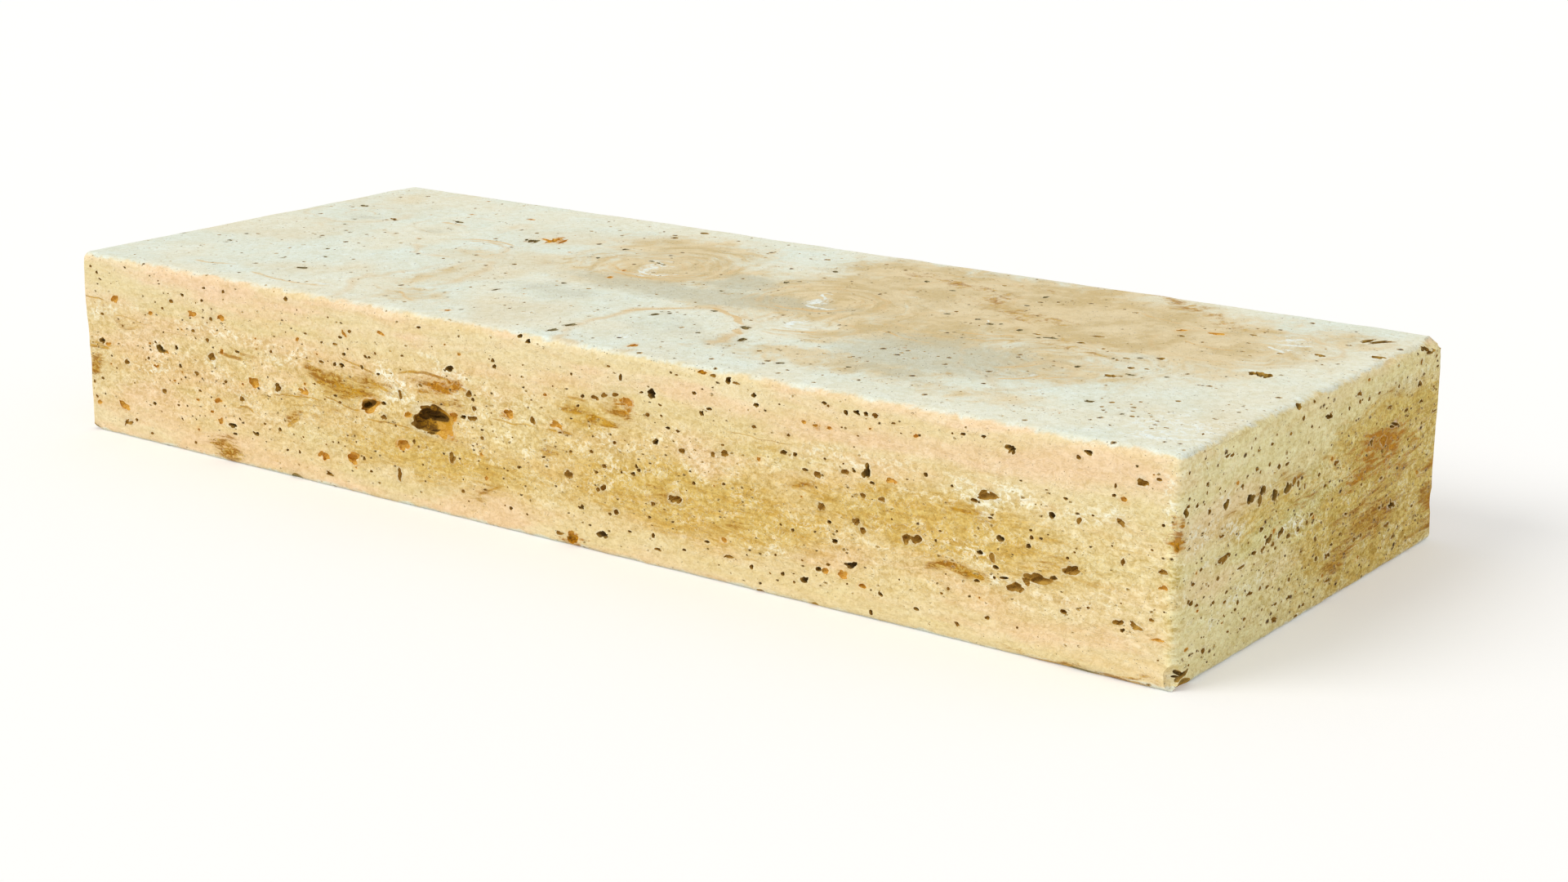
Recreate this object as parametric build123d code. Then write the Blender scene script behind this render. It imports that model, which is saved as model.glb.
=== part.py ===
from build123d import *
import os
from collections import namedtuple
from math import cos, pi, sin, sqrt

# Travertine block step: one sawn block, tumbled so that its arrises are worn round.
# Millimetres. +X runs along the step, +Y from the riser to the back, +Z up.
# The origin is the middle of the bed, the face that the step lies on.

# Driving dimensions
LENGTH = 1000.0
TREAD = 380.0
RISE = 148.0

# Radii that tumbling leaves: the bed's arrises are worn least
WORN_ARRIS = 6.0
BED_ARRIS = 4.0

# How a hollow narrows below its mouth: shares of its depth, and of its mouth
SHOULDER_DEPTH = 0.55
SHOULDER_WIDTH = 0.82
FLOOR_WIDTH = 0.42

# How ragged the mouth of a hollow is: its corners, and how far the deepest one is drawn in
MOUTH_CORNERS = 9
RAGGEDNESS = 0.22

# How fast the raggedness changes from corner to corner, in radians, and from place to place,
# in radians over a whole face, so that no two hollows have the same outline
CORNER_SWING = 2.3
PLACE_SWING = 100.0

# How far a hollow's cutter stands out of the face, so that it cuts clean through it
CLEAR = 2.0

# How deep a spall is scooped behind the straight break between its two edges, as a share of its reach
SPALL_SCOOP = 0.3

# A vug is a natural hole in the stone. Its place is given as shares of the face, so that it
# stays on the stone at any size. Width lies along the bedding, and tilt is in degrees.
Vug = namedtuple("Vug", "along up width height depth tilt")

# A spall is a flake that has broken off an arris: its middle as a share of the arris,
# its length along the arris, and how far it reaches onto both faces.
Spall = namedtuple("Spall", "along length reach")

# The largest hole of the riser is several hollows that have grown together
GREAT_VUG = [
    Vug(0.390, 0.470, 33.0, 19.0, 17.0, 0.0),
    Vug(0.399, 0.515, 19.0, 11.0, 12.0, -12.0),
    Vug(0.377, 0.435, 16.0, 9.0, 8.0, 10.0),
    Vug(0.408, 0.445, 11.0, 8.0, 4.0, -35.0),
]

RISER_VUGS = GREAT_VUG + [
    Vug(0.326, 0.482, 18.0, 7.0, 7.0, 24.0),
    Vug(0.369, 0.483, 7.5, 3.6, 3.0, 15.0),
    Vug(0.391, 0.402, 8.5, 2.6, 4.0, 3.0),
    Vug(0.340, 0.440, 5.5, 4.6, 5.0, 0.0),
    Vug(0.342, 0.507, 6.5, 3.0, 3.0, -10.0),
    Vug(0.405, 0.680, 23.0, 6.0, 2.5, -12.0),
    Vug(0.409, 0.757, 10.0, 3.8, 5.0, 14.0),
    Vug(0.432, 0.528, 9.5, 3.6, 3.5, -8.0),
    Vug(0.360, 0.325, 12.5, 7.5, 3.5, 10.0),
    Vug(0.304, 0.180, 12.5, 7.5, 3.5, 18.0),
    Vug(0.275, 0.162, 12.0, 4.0, 2.5, -6.0),
    Vug(0.093, 0.547, 9.0, 7.5, 6.0, 0.0),
    Vug(0.155, 0.566, 7.0, 6.5, 4.5, 0.0),
    Vug(0.022, 0.517, 11.0, 4.0, 3.5, 0.0),
    Vug(0.203, 0.470, 12.0, 7.5, 3.5, 0.0),
    Vug(0.228, 0.466, 8.5, 6.5, 3.0, 30.0),
    Vug(0.051, 0.430, 5.5, 4.4, 3.0, 0.0),
    Vug(0.044, 0.178, 13.5, 4.6, 2.5, -8.0),
    Vug(0.168, 0.777, 9.5, 3.4, 2.5, 0.0),
    Vug(0.134, 0.770, 9.0, 3.0, 2.5, 10.0),
    Vug(0.160, 0.224, 6.0, 6.5, 3.0, 0.0),
    Vug(0.174, 0.211, 9.0, 4.6, 3.5, -5.0),
    Vug(0.200, 0.189, 7.0, 3.4, 4.0, 0.0),
    Vug(0.467, 0.588, 9.0, 6.5, 2.5, 0.0),
    Vug(0.512, 0.588, 10.0, 4.2, 3.0, -12.0),
    Vug(0.598, 0.831, 9.5, 4.6, 5.0, 4.0),
    Vug(0.571, 0.878, 3.6, 5.4, 5.0, 0.0),
    Vug(0.687, 0.872, 4.6, 3.6, 5.0, 0.0),
    Vug(0.577, 0.770, 8.5, 6.0, 2.5, 0.0),
    Vug(0.660, 0.625, 6.5, 4.4, 3.5, 0.0),
    Vug(0.619, 0.351, 10.0, 5.0, 2.5, 22.0),
    Vug(0.533, 0.203, 6.5, 3.4, 5.0, 12.0),
    Vug(0.551, 0.098, 9.5, 5.6, 6.0, 8.0),
    Vug(0.525, 0.060, 9.0, 7.0, 3.0, 0.0),
    Vug(0.764, 0.230, 9.0, 4.6, 6.0, 6.0),
    Vug(0.757, 0.174, 8.5, 5.0, 3.5, -10.0),
    Vug(0.726, 0.108, 7.5, 3.6, 3.5, 0.0),
    Vug(0.710, 0.682, 6.5, 3.4, 3.5, 0.0),
    Vug(0.776, 0.668, 6.5, 10.0, 5.0, 8.0),
    Vug(0.758, 0.655, 6.0, 4.4, 4.0, 12.0),
    Vug(0.795, 0.655, 8.0, 4.4, 3.0, -6.0),
    Vug(0.867, 0.676, 13.5, 5.0, 2.5, 0.0),
    Vug(0.882, 0.897, 9.0, 4.0, 4.0, -4.0),
    Vug(0.877, 0.500, 5.0, 4.4, 4.0, 0.0),
    Vug(0.897, 0.497, 4.6, 3.4, 5.0, 0.0),
    Vug(0.908, 0.358, 16.5, 5.6, 4.0, 8.0),
    Vug(0.888, 0.304, 11.0, 6.0, 3.0, 18.0),
    Vug(0.927, 0.432, 10.5, 6.0, 3.0, 24.0),
    Vug(0.937, 0.945, 7.0, 3.0, 5.0, 0.0),
    Vug(0.974, 0.860, 6.5, 4.8, 4.0, 12.0),
    Vug(0.961, 0.676, 5.5, 4.0, 3.0, 0.0),
    Vug(0.974, 0.247, 14.0, 3.4, 2.5, -20.0),
]

END_VUGS = [
    Vug(0.153, 0.703, 7.0, 5.6, 5.0, 0.0),
    Vug(0.237, 0.673, 9.0, 7.0, 5.0, 0.0),
    Vug(0.280, 0.683, 7.0, 4.6, 5.0, 20.0),
    Vug(0.329, 0.641, 7.0, 6.4, 6.0, -8.0),
    Vug(0.380, 0.630, 11.0, 5.8, 5.0, -40.0),
    Vug(0.416, 0.638, 4.0, 5.6, 5.0, 0.0),
    Vug(0.153, 0.473, 13.0, 4.6, 2.5, 4.0),
    Vug(0.260, 0.432, 5.5, 3.8, 4.0, 0.0),
    Vug(0.311, 0.436, 19.0, 5.4, 4.0, 6.0),
    Vug(0.359, 0.453, 8.5, 4.6, 4.0, -5.0),
    Vug(0.518, 0.872, 11.0, 3.6, 4.0, -10.0),
    Vug(0.638, 0.912, 8.0, 3.4, 4.0, -6.0),
    Vug(0.750, 0.640, 10.5, 7.5, 3.0, 0.0),
    Vug(0.806, 0.678, 15.0, 4.2, 3.5, -12.0),
    Vug(0.703, 0.655, 6.5, 4.0, 3.5, 0.0),
    Vug(0.816, 0.291, 12.5, 3.8, 4.0, -4.0),
    Vug(0.903, 0.818, 7.0, 4.6, 4.0, 0.0),
    Vug(0.550, 0.223, 9.0, 3.4, 3.0, 0.0),
]

TREAD_VUGS = [
    Vug(0.280, 0.690, 28.0, 9.0, 4.0, 100.0),
    Vug(0.265, 0.655, 14.0, 7.0, 2.5, 118.0),
    Vug(0.358, 0.938, 10.5, 7.0, 4.0, 20.0),
    Vug(0.351, 0.871, 8.0, 6.0, 3.0, 80.0),
    Vug(0.104, 0.661, 8.0, 5.6, 3.0, -40.0),
    Vug(0.192, 0.163, 9.5, 7.0, 2.5, 0.0),
    Vug(0.490, 0.110, 12.0, 5.0, 2.5, 85.0),
    Vug(0.594, 0.282, 9.5, 7.0, 3.0, -30.0),
    Vug(0.517, 0.268, 9.0, 5.0, 3.0, 80.0),
    Vug(0.616, 0.205, 10.0, 7.0, 2.5, 60.0),
    Vug(0.566, 0.053, 9.5, 6.0, 3.0, -60.0),
    Vug(0.753, 0.571, 8.0, 4.4, 3.0, -65.0),
    Vug(0.809, 0.613, 10.5, 5.0, 3.5, 12.0),
    Vug(0.853, 0.711, 7.0, 5.6, 4.0, -50.0),
    Vug(0.869, 0.442, 9.0, 6.4, 4.0, -60.0),
    Vug(0.872, 0.537, 8.0, 6.0, 4.0, 70.0),
    Vug(0.868, 0.371, 10.5, 5.0, 3.0, 0.0),
    Vug(0.867, 0.766, 12.0, 7.0, 3.0, 20.0),
    Vug(0.947, 0.535, 17.5, 9.0, 4.5, -58.0),
    Vug(0.955, 0.724, 9.0, 6.6, 3.5, -50.0),
    Vug(0.970, 0.870, 24.0, 7.5, 4.5, 62.0),
    Vug(0.892, 0.200, 9.0, 4.6, 2.5, 0.0),
]

# Spalls, arris by arris
FRONT_TREAD_SPALLS = [
    Spall(0.08, 14.0, 5.0),
    Spall(0.27, 18.0, 5.0),
    Spall(0.483, 24.0, 6.6),
    Spall(0.60, 14.0, 5.0),
    Spall(0.667, 17.0, 6.6),
    Spall(0.83, 20.0, 5.4),
]
END_TREAD_SPALLS = [
    Spall(0.20, 18.0, 5.4),
    Spall(0.46, 22.0, 5.8),
    Spall(0.77, 26.0, 6.4),
    Spall(0.975, 30.0, 11.0),
]
BACK_TREAD_SPALLS = [
    Spall(0.52, 20.0, 5.4),
    Spall(0.61, 14.0, 5.0),
]
NEAR_UPRIGHT_SPALLS = [
    Spall(0.66, 34.0, 8.0),
    Spall(0.06, 22.0, 7.6),
]
END_BED_SPALLS = [
    Spall(0.03, 26.0, 7.6),
]


def mouth(width, height, share, seed):
    """A ragged outline, as wide and high as it says, drawn in or out to a share of that."""
    corners = []
    for corner in range(MOUTH_CORNERS):
        turn = 2 * pi * corner / MOUTH_CORNERS
        drawn_in = RAGGEDNESS * (1 + sin(seed + CORNER_SWING * corner * corner)) / 2
        reach = share * (1 - drawn_in) / 2
        corners.append((width * reach * cos(turn), height * reach * sin(turn)))
    return make_face(Polyline(*corners, close=True))


def hollow(width, height, depth, clear, seed):
    """A rough bowl below the plane's origin, with flat walls that close in towards its floor."""
    flare = 1 + clear * (1 - SHOULDER_WIDTH) / (SHOULDER_DEPTH * depth)
    levels = [
        (clear, flare),
        (-SHOULDER_DEPTH * depth, SHOULDER_WIDTH),
        (-depth, FLOOR_WIDTH),
    ]
    return loft([Pos(Z=z) * mouth(width, height, share, seed) for z, share in levels], ruled=True)


def vug_hollow(face, along_size, up_size, vug):
    """The hollow of a vug, on a face's plane with X along the bedding."""
    place = Pos(vug.along * along_size, vug.up * up_size) * Rot(Z=vug.tilt)
    seed = PLACE_SWING * (vug.along + vug.up)
    return face * place * hollow(vug.width, vug.height, vug.depth, CLEAR, seed)


def spall_hollow(arris, arris_length, spall):
    """The hollow of a spall, on the plane that halves its arris, with X along the arris."""
    across = sqrt(2) * spall.reach
    place = Pos(spall.along * arris_length, 0, -across / 2)
    seed = PLACE_SWING * spall.along
    scoop = SPALL_SCOOP * spall.reach
    return arris * place * hollow(spall.length, across, scoop, across / 2 + CLEAR, seed)


def sawn_block():
    """The block with its worn arrises."""
    block = Box(LENGTH, TREAD, RISE, align=(Align.CENTER, Align.CENTER, Align.MIN))
    bed = block.edges().group_by(Axis.Z)[0]
    block = fillet(block.edges() - bed, WORN_ARRIS)
    bed = block.faces().sort_by(Axis.Z)[0].edges()
    return fillet(bed, BED_ARRIS)


def hollows():
    """Every vug and spall, as solids to take out of the block."""
    right, left, front, back = LENGTH / 2, -LENGTH / 2, -TREAD / 2, TREAD / 2
    faces = [
        (Plane((left, front, 0), x_dir=(1, 0, 0), z_dir=(0, -1, 0)), LENGTH, RISE, RISER_VUGS),
        (Plane((right, front, 0), x_dir=(0, 1, 0), z_dir=(1, 0, 0)), TREAD, RISE, END_VUGS),
        (Plane((left, front, RISE), x_dir=(1, 0, 0), z_dir=(0, 0, 1)), LENGTH, TREAD, TREAD_VUGS),
    ]
    arrises = [
        (Plane((left, front, RISE), x_dir=(1, 0, 0), z_dir=(0, -1, 1)), LENGTH, FRONT_TREAD_SPALLS),
        (Plane((right, front, RISE), x_dir=(0, 1, 0), z_dir=(1, 0, 1)), TREAD, END_TREAD_SPALLS),
        (Plane((left, back, RISE), x_dir=(1, 0, 0), z_dir=(0, 1, 1)), LENGTH, BACK_TREAD_SPALLS),
        (Plane((right, front, 0), x_dir=(0, 0, 1), z_dir=(1, -1, 0)), RISE, NEAR_UPRIGHT_SPALLS),
        (Plane((right, front, 0), x_dir=(0, 1, 0), z_dir=(1, 0, -1)), TREAD, END_BED_SPALLS),
    ]
    vugs = [
        vug_hollow(face, along, up, vug) for face, along, up, listed in faces for vug in listed
    ]
    spalls = [
        spall_hollow(arris, size, spall) for arris, size, listed in arrises for spall in listed
    ]
    return vugs + spalls


def block_step():
    """The whole step, one solid."""
    return sawn_block() - hollows()


if __name__ == "__main__":
    os.makedirs("parts", exist_ok=True)
    step = block_step()
    step.label = "block_step"
    export_step(step, "parts/block_step.step")
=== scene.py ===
# %% [markdown]
# # A travertine block step
#
# Travertine is limestone that a hot spring laid down in layers. It is full of holes: gas bubbles,
# and the places where reeds and moss rotted away. This step is one block of it, sawn on all six
# faces and then tumbled with grit, which wears the arrises round and knocks small spalls off them.
#
# The construction model holds the block at its real size with its larger holes. Here the same block
# gets a finer skin: worn arrises, every hole that can be seen, and a finish for the stone itself.
# The construction model is loaded first and stays fixed. Its box is the most that the new skin may fill.

# %% Load the block
from collections import namedtuple
from math import radians

import bmesh
import bpy
import numpy as np
from mathutils import Euler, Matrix, Vector, kdtree, noise


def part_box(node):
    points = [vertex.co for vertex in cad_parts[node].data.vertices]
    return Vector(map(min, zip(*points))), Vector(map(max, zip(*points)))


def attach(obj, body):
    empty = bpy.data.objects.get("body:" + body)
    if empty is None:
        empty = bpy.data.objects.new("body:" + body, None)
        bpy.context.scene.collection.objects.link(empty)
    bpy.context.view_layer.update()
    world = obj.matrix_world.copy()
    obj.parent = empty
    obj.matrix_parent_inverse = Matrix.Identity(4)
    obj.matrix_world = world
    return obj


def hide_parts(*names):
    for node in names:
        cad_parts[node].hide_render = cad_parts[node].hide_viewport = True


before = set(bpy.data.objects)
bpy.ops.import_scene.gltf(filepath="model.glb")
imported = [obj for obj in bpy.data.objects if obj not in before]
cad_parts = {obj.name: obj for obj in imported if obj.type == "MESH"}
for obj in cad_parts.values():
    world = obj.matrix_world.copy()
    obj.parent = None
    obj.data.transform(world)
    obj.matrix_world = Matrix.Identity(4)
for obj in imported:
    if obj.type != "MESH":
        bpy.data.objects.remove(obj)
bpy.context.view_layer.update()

MM = 0.001
LOW, HIGH = (np.array(corner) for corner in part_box("block_step"))
SIZE = HIGH - LOW
MIDDLE = (LOW + HIGH) / 2
print("block, mm:", np.round(SIZE / MM, 1))

# %% [markdown]
# ## The camera
#
# The block is seen from in front of its right end, from a little above, with a short telephoto lens.
# The place and the lens were worked out from where the block's corners fall in the picture, so they
# are written as they came out. The lens has no shift, so that the other views stay framed.

# %% Camera
CAMERA_PLACE = (1.175, -1.477, 0.560)
CAMERA_PITCH = 15.68
CAMERA_YAW = 36.86
LENS_MM = 58.97
SENSOR_MM = 36

scene = bpy.context.scene
camera = bpy.data.objects.new("camera", bpy.data.cameras.new("camera"))
camera.location = CAMERA_PLACE
camera.rotation_euler = Euler((radians(90 - CAMERA_PITCH), 0, radians(CAMERA_YAW)))
camera.data.lens = LENS_MM
camera.data.sensor_width = SENSOR_MM
scene.collection.objects.link(camera)
scene.camera = camera
print("camera stands", round(Vector(CAMERA_PLACE).length, 2), "m from the block")

# %% [markdown]
# ## Nodes by hand
#
# Every material here is made of nodes. Placing nodes in code is wordy, so this small helper places
# one node at a time and takes each input either as a plain value or as another node's output.

# %% A helper that places nodes
class Maker:
    """Places nodes in one tree. An input is a plain value or the output of another node."""

    def __init__(self, tree):
        self.tree = tree

    def feed(self, socket, value):
        if isinstance(value, bpy.types.NodeSocket):
            self.tree.links.new(value, socket)
        else:
            socket.default_value = value

    def put(self, kind, settings=(), **inputs):
        node = self.tree.nodes.new(kind)
        for name, value in dict(settings).items():
            setattr(node, name, value)
        for name, value in inputs.items():
            self.feed(node.inputs[name.replace("_", " ")], value)
        return node

    def math(self, operation, *values, clamp=False):
        node = self.put("ShaderNodeMath", {"operation": operation, "use_clamp": clamp})
        for socket, value in zip(node.inputs, values):
            self.feed(socket, value)
        return node.outputs[0]

    def times(self, first, second):
        return self.math("MULTIPLY", first, second)

    def plus(self, first, second):
        return self.math("ADD", first, second)

    def minus(self, first, second):
        return self.math("SUBTRACT", first, second)

    def scaled(self, value, share, start):
        """The value times the share, added to start."""
        return self.math("MULTIPLY_ADD", value, share, start)

    def vector(self, operation, *values):
        node = self.put("ShaderNodeVectorMath", {"operation": operation})
        for socket, value in zip(node.inputs, values):
            self.feed(socket, value)
        return node.outputs[0]

    def mix(self, factor, first, second, blend="MIX"):
        node = self.put("ShaderNodeMix", {"data_type": "RGBA", "blend_type": blend})
        for index, value in ((0, factor), (6, first), (7, second)):
            self.feed(node.inputs[index], value)
        return node.outputs[2]

    def rise(self, value, start, end, low=0.0, high=1.0):
        """A smooth step: low below start, high above end."""
        node = self.put("ShaderNodeMapRange", {"interpolation_type": "SMOOTHSTEP", "clamp": False})
        for socket, number in zip(node.inputs, (value, start, end, low, high)):
            self.feed(socket, number)
        return node.outputs[0]

    def noise(self, vector, scale, detail=3.0, roughness=0.5, distortion=0.0):
        node = self.put(
            "ShaderNodeTexNoise",
            Vector=vector, Scale=scale, Detail=detail, Roughness=roughness, Distortion=distortion,
        )
        return node.outputs["Fac"]

    def shake(self, vector, scale, detail, reach):
        """Noise that moves a place about, by up to half the reach along each axis."""
        node = self.put("ShaderNodeTexNoise", Vector=vector, Scale=scale, Detail=detail)
        return self.vector("MULTIPLY", self.vector("SUBTRACT", node.outputs["Color"], (0.5, 0.5, 0.5)), reach)

    def attribute(self, name):
        return self.put("ShaderNodeAttribute", {"attribute_name": name}).outputs["Fac"]


def colour(red, green, blue):
    """A colour as seen on a screen, 0 to 255, turned into the linear numbers that nodes take."""
    linear = [((c / 255 + 0.055) / 1.055) ** 2.4 if c > 10 else c / 255 / 12.92 for c in (red, green, blue)]
    return (*linear, 1.0)


print("white is", [round(c, 2) for c in colour(255, 255, 255)])

# %% [markdown]
# ## Floor and light
#
# A pale floor catches a soft shadow under the block. To a camera, a white floor in plain light still
# looks grey, so the floor adds a little light of its own, but only for rays that come straight from
# the camera, off a gloss or through glass. That keeps the stone from being lit by it.
#
# The sky gives most of the light, and one wide sun from the front left gives the tread and the riser
# a little more than the right end, as in the picture.

# %% Floor
FLOOR_HALF = 14.0
FLOOR_OWN_LIGHT = 0.22

floor_mesh = bpy.data.meshes.new("floor")
corners = [(-1, -1), (1, -1), (1, 1), (-1, 1)]
floor_mesh.from_pydata([(x * FLOOR_HALF, y * FLOOR_HALF, float(LOW[2])) for x, y in corners], [], [(0, 1, 2, 3)])
floor = bpy.data.objects.new("floor", floor_mesh)
scene.collection.objects.link(floor)


def plain_tree(material):
    """The material's empty node tree, with its output."""
    material.use_nodes = True
    material.node_tree.nodes.clear()
    maker = Maker(material.node_tree)
    return maker, maker.put("ShaderNodeOutputMaterial")


def seen_directly(maker):
    """1 for a ray from the camera, off a gloss or through glass, and 0 for the light that reaches the stone."""
    paths = maker.put("ShaderNodeLightPath").outputs
    seen = maker.math("ADD", paths["Is Camera Ray"], paths["Is Glossy Ray"], clamp=True)
    return maker.math("ADD", seen, paths["Is Transmission Ray"], clamp=True)


floor_finish = bpy.data.materials.new("pale_floor")
maker, output = plain_tree(floor_finish)
shell = maker.put("ShaderNodeBsdfPrincipled", Base_Color=colour(232, 231, 228), Roughness=0.9)
maker.feed(shell.inputs["Emission Color"], colour(255, 255, 255))
maker.feed(shell.inputs["Emission Strength"], maker.times(seen_directly(maker), FLOOR_OWN_LIGHT))
maker.feed(output.inputs["Surface"], shell.outputs[0])
floor_mesh.materials.append(floor_finish)
print("floor is", 2 * FLOOR_HALF, "m square")

# %% Sky and sun
SKY_LIGHT = 0.67
SUN_LIGHT = 1.4
SUN_WIDTH = 35.0
SUN_FROM = Vector((-0.45, -0.62, 0.66))

world = bpy.data.worlds.new("sky")
world.use_nodes = True
world.node_tree.nodes.clear()
maker = Maker(world.node_tree)
strength = maker.scaled(seen_directly(maker), 1 - SKY_LIGHT, SKY_LIGHT)
sky = maker.put("ShaderNodeBackground", Color=colour(255, 255, 255), Strength=strength)
maker.feed(maker.put("ShaderNodeOutputWorld").inputs["Surface"], sky.outputs[0])
scene.world = world

sun = bpy.data.objects.new("sun", bpy.data.lights.new("sun", "SUN"))
sun.data.energy = SUN_LIGHT
sun.data.angle = radians(SUN_WIDTH)
sun.rotation_euler = SUN_FROM.to_track_quat("Z", "Y").to_euler()
scene.collection.objects.link(sun)
scene.view_settings.view_transform = "Standard"
print("sun stands", round(np.degrees(np.arcsin(SUN_FROM.normalized().z))), "degrees high")

# %% [markdown]
# ## The sawn block
#
# A block could start as a cube with a bevel, but a bevel is the same all the way along. A tumbled
# arris isn't: hard layers stand proud and soft ones wear away. So the skin starts as a grid of lines
# over the six faces, close together near the arrises. Each point is then pulled onto a round arris
# whose radius changes from place to place.
#
# The middle of the bed is flat and hidden, so it is left as one large face.

# %% Grid lines
ARRIS_ZONE = 14 * MM
ARRIS_STEP = 2 * MM
FACE_STEPS = (6.2 * MM, 8 * MM, 4 * MM)


def grid_lines(low, high, step):
    """Places of the grid's lines along one axis: close over both arrises, and step apart between."""
    near = np.arange(0, ARRIS_ZONE, ARRIS_STEP)
    inner = high - low - 2 * ARRIS_ZONE
    between = np.linspace(low + ARRIS_ZONE, high - ARRIS_ZONE, int(round(inner / step)) + 1)
    return np.concatenate([low + near, between, high - near[::-1]])


LINES = [grid_lines(LOW[axis], HIGH[axis], FACE_STEPS[axis]) for axis in range(3)]
print("grid lines along X, Y and Z:", [len(lines) for lines in LINES])

# %% Skin of the block
def side_quads(axis, last):
    """The grid's squares on one side of the block, as corners that count lines along X, Y and Z."""
    across, up = [other for other in range(3) if other != axis]
    a, b = np.meshgrid(np.arange(len(LINES[across]) - 1), np.arange(len(LINES[up]) - 1), indexing="ij")
    a, b = a.ravel(), b.ravel()
    quads = np.zeros((len(a), 4, 3), int)
    quads[:, :, axis] = len(LINES[axis]) - 1 if last else 0
    turn = [(0, 0), (1, 0), (1, 1), (0, 1)]
    if (axis == 1) != (not last):
        turn = turn[::-1]
    for corner, (step_a, step_b) in enumerate(turn):
        quads[:, corner, across] = a + step_a
        quads[:, corner, up] = b + step_b
    return quads


def block_skin():
    """Points and faces of the sharp block. The bed's middle is one face."""
    sides = [side_quads(axis, last) for axis in range(3) for last in (False, True)]
    rim = int(ARRIS_ZONE / ARRIS_STEP)
    bed = sides[4]
    inside = np.ones(len(bed), bool)
    for axis in (0, 1):
        inside &= (bed[:, :, axis].min(1) >= rim) & (bed[:, :, axis].max(1) <= len(LINES[axis]) - 1 - rim)
    sides[4] = bed[~inside]
    quads = np.concatenate(sides)
    counted, places = np.unique(quads.reshape(-1, 3), axis=0, return_inverse=True)
    points = np.stack([LINES[axis][counted[:, axis]] for axis in range(3)], 1)
    faces = [tuple(quad) for quad in places.reshape(-1, 4).tolist()]
    number = {tuple(lines): index for index, lines in enumerate(counted.tolist())}
    x_end, y_end = len(LINES[0]) - 1 - rim, len(LINES[1]) - 1 - rim
    ring = [(x, rim) for x in range(rim, x_end)] + [(x_end, y) for y in range(rim, y_end)]
    ring += [(x, y_end) for x in range(x_end, rim, -1)] + [(rim, y) for y in range(y_end, rim, -1)]
    faces.append(tuple(number[x, y, 0] for x, y in ring[::-1]))
    return points, faces


points, faces = block_skin()
print(len(points), "points,", len(faces), "faces")

# %% [markdown]
# ## Worn arrises and a brushed face
#
# Each point is measured from a smaller block inside, and pushed out from it by the arris radius.
# The radius wanders: a slow wander for the wear, a quick one for the grit that nibbled at it.
# The sawn faces then get a very low relief. It follows the layers, because brushing takes more off
# the soft ones, and it only ever goes inwards, so the block keeps its size.

# %% Worn arrises
ARRIS_RADIUS = 6.5 * MM
BED_RADIUS = 4 * MM
WEAR_WANDER = 2.6 * MM
NIBBLE = 1.2 * MM
WEAR_LENGTH, NIBBLE_LENGTH = 45 * MM, 16 * MM
LEAST_RADIUS = 2.2 * MM
BED_SHARE = 3


def noise_at(places, lengths, seed):
    """Smooth noise from -1 to 1 at each place, with bumps about as long as lengths along X, Y and Z."""
    shifted = places / np.array(lengths) + seed
    return np.array([noise.noise(Vector(place)) for place in shifted.tolist()])


def wear(places):
    """The skin with its arrises worn round."""
    height = np.clip((places[:, 2] - LOW[2]) / SIZE[2], 0, 1)
    radius = BED_RADIUS + (ARRIS_RADIUS - BED_RADIUS) * np.clip(BED_SHARE * height, 0, 1)
    wander = noise_at(places, [WEAR_LENGTH] * 3, 3.1)
    radius = radius + WEAR_WANDER * np.clip(BED_SHARE * height, 0.2, 1) * wander
    radius = radius + NIBBLE * noise_at(places, [NIBBLE_LENGTH] * 3, 8.7)
    radius = np.clip(radius, LEAST_RADIUS, None)[:, None]
    inner = np.clip(places - MIDDLE, -(SIZE / 2 - radius), SIZE / 2 - radius)
    outward = places - MIDDLE - inner
    outward /= np.linalg.norm(outward, axis=1)[:, None]
    return MIDDLE + inner + radius * outward, outward


points, outward = wear(points)
print("arrises worn to about", ARRIS_RADIUS / MM, "mm")

# %% Low relief
FACE_WAVE = 0.35 * MM
LAYER_RELIEF = 0.30 * MM
ARRIS_ROUGHNESS = 0.9 * MM
ROUGH_LENGTH, FINER_LENGTH, FINER_SHARE = 14 * MM, 8 * MM, 0.3
BED_FADE = 6 * MM


def relief(places, outward):
    """How far each point sinks: a faint wave, the softer layers, and rough arrises."""
    wave = FACE_WAVE * (0.5 + 0.5 * noise_at(places, [60 * MM, 60 * MM, 30 * MM], 21.0))
    layer = np.clip(noise_at(places, [70 * MM, 70 * MM, 7 * MM], 5.5), 0, 1)
    on_side = 1 - np.abs(outward[:, 2])
    on_arris = 1 - np.clip((np.abs(outward).max(1) - 0.75) / 0.24, 0, 1)
    rough = noise_at(places, [ROUGH_LENGTH] * 3, 40.3) + FINER_SHARE * noise_at(places, [FINER_LENGTH] * 3, 9.9)
    sink = wave + LAYER_RELIEF * layer * on_side + ARRIS_ROUGHNESS * np.clip(rough, 0, 1) * on_arris
    on_bed = np.clip((places[:, 2] - LOW[2]) / BED_FADE, 0, 1)
    return sink * on_bed


sink = relief(points, outward)
points = points - outward * sink[:, None]
print("relief goes down to", round(sink.max() / MM, 2), "mm")
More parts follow.
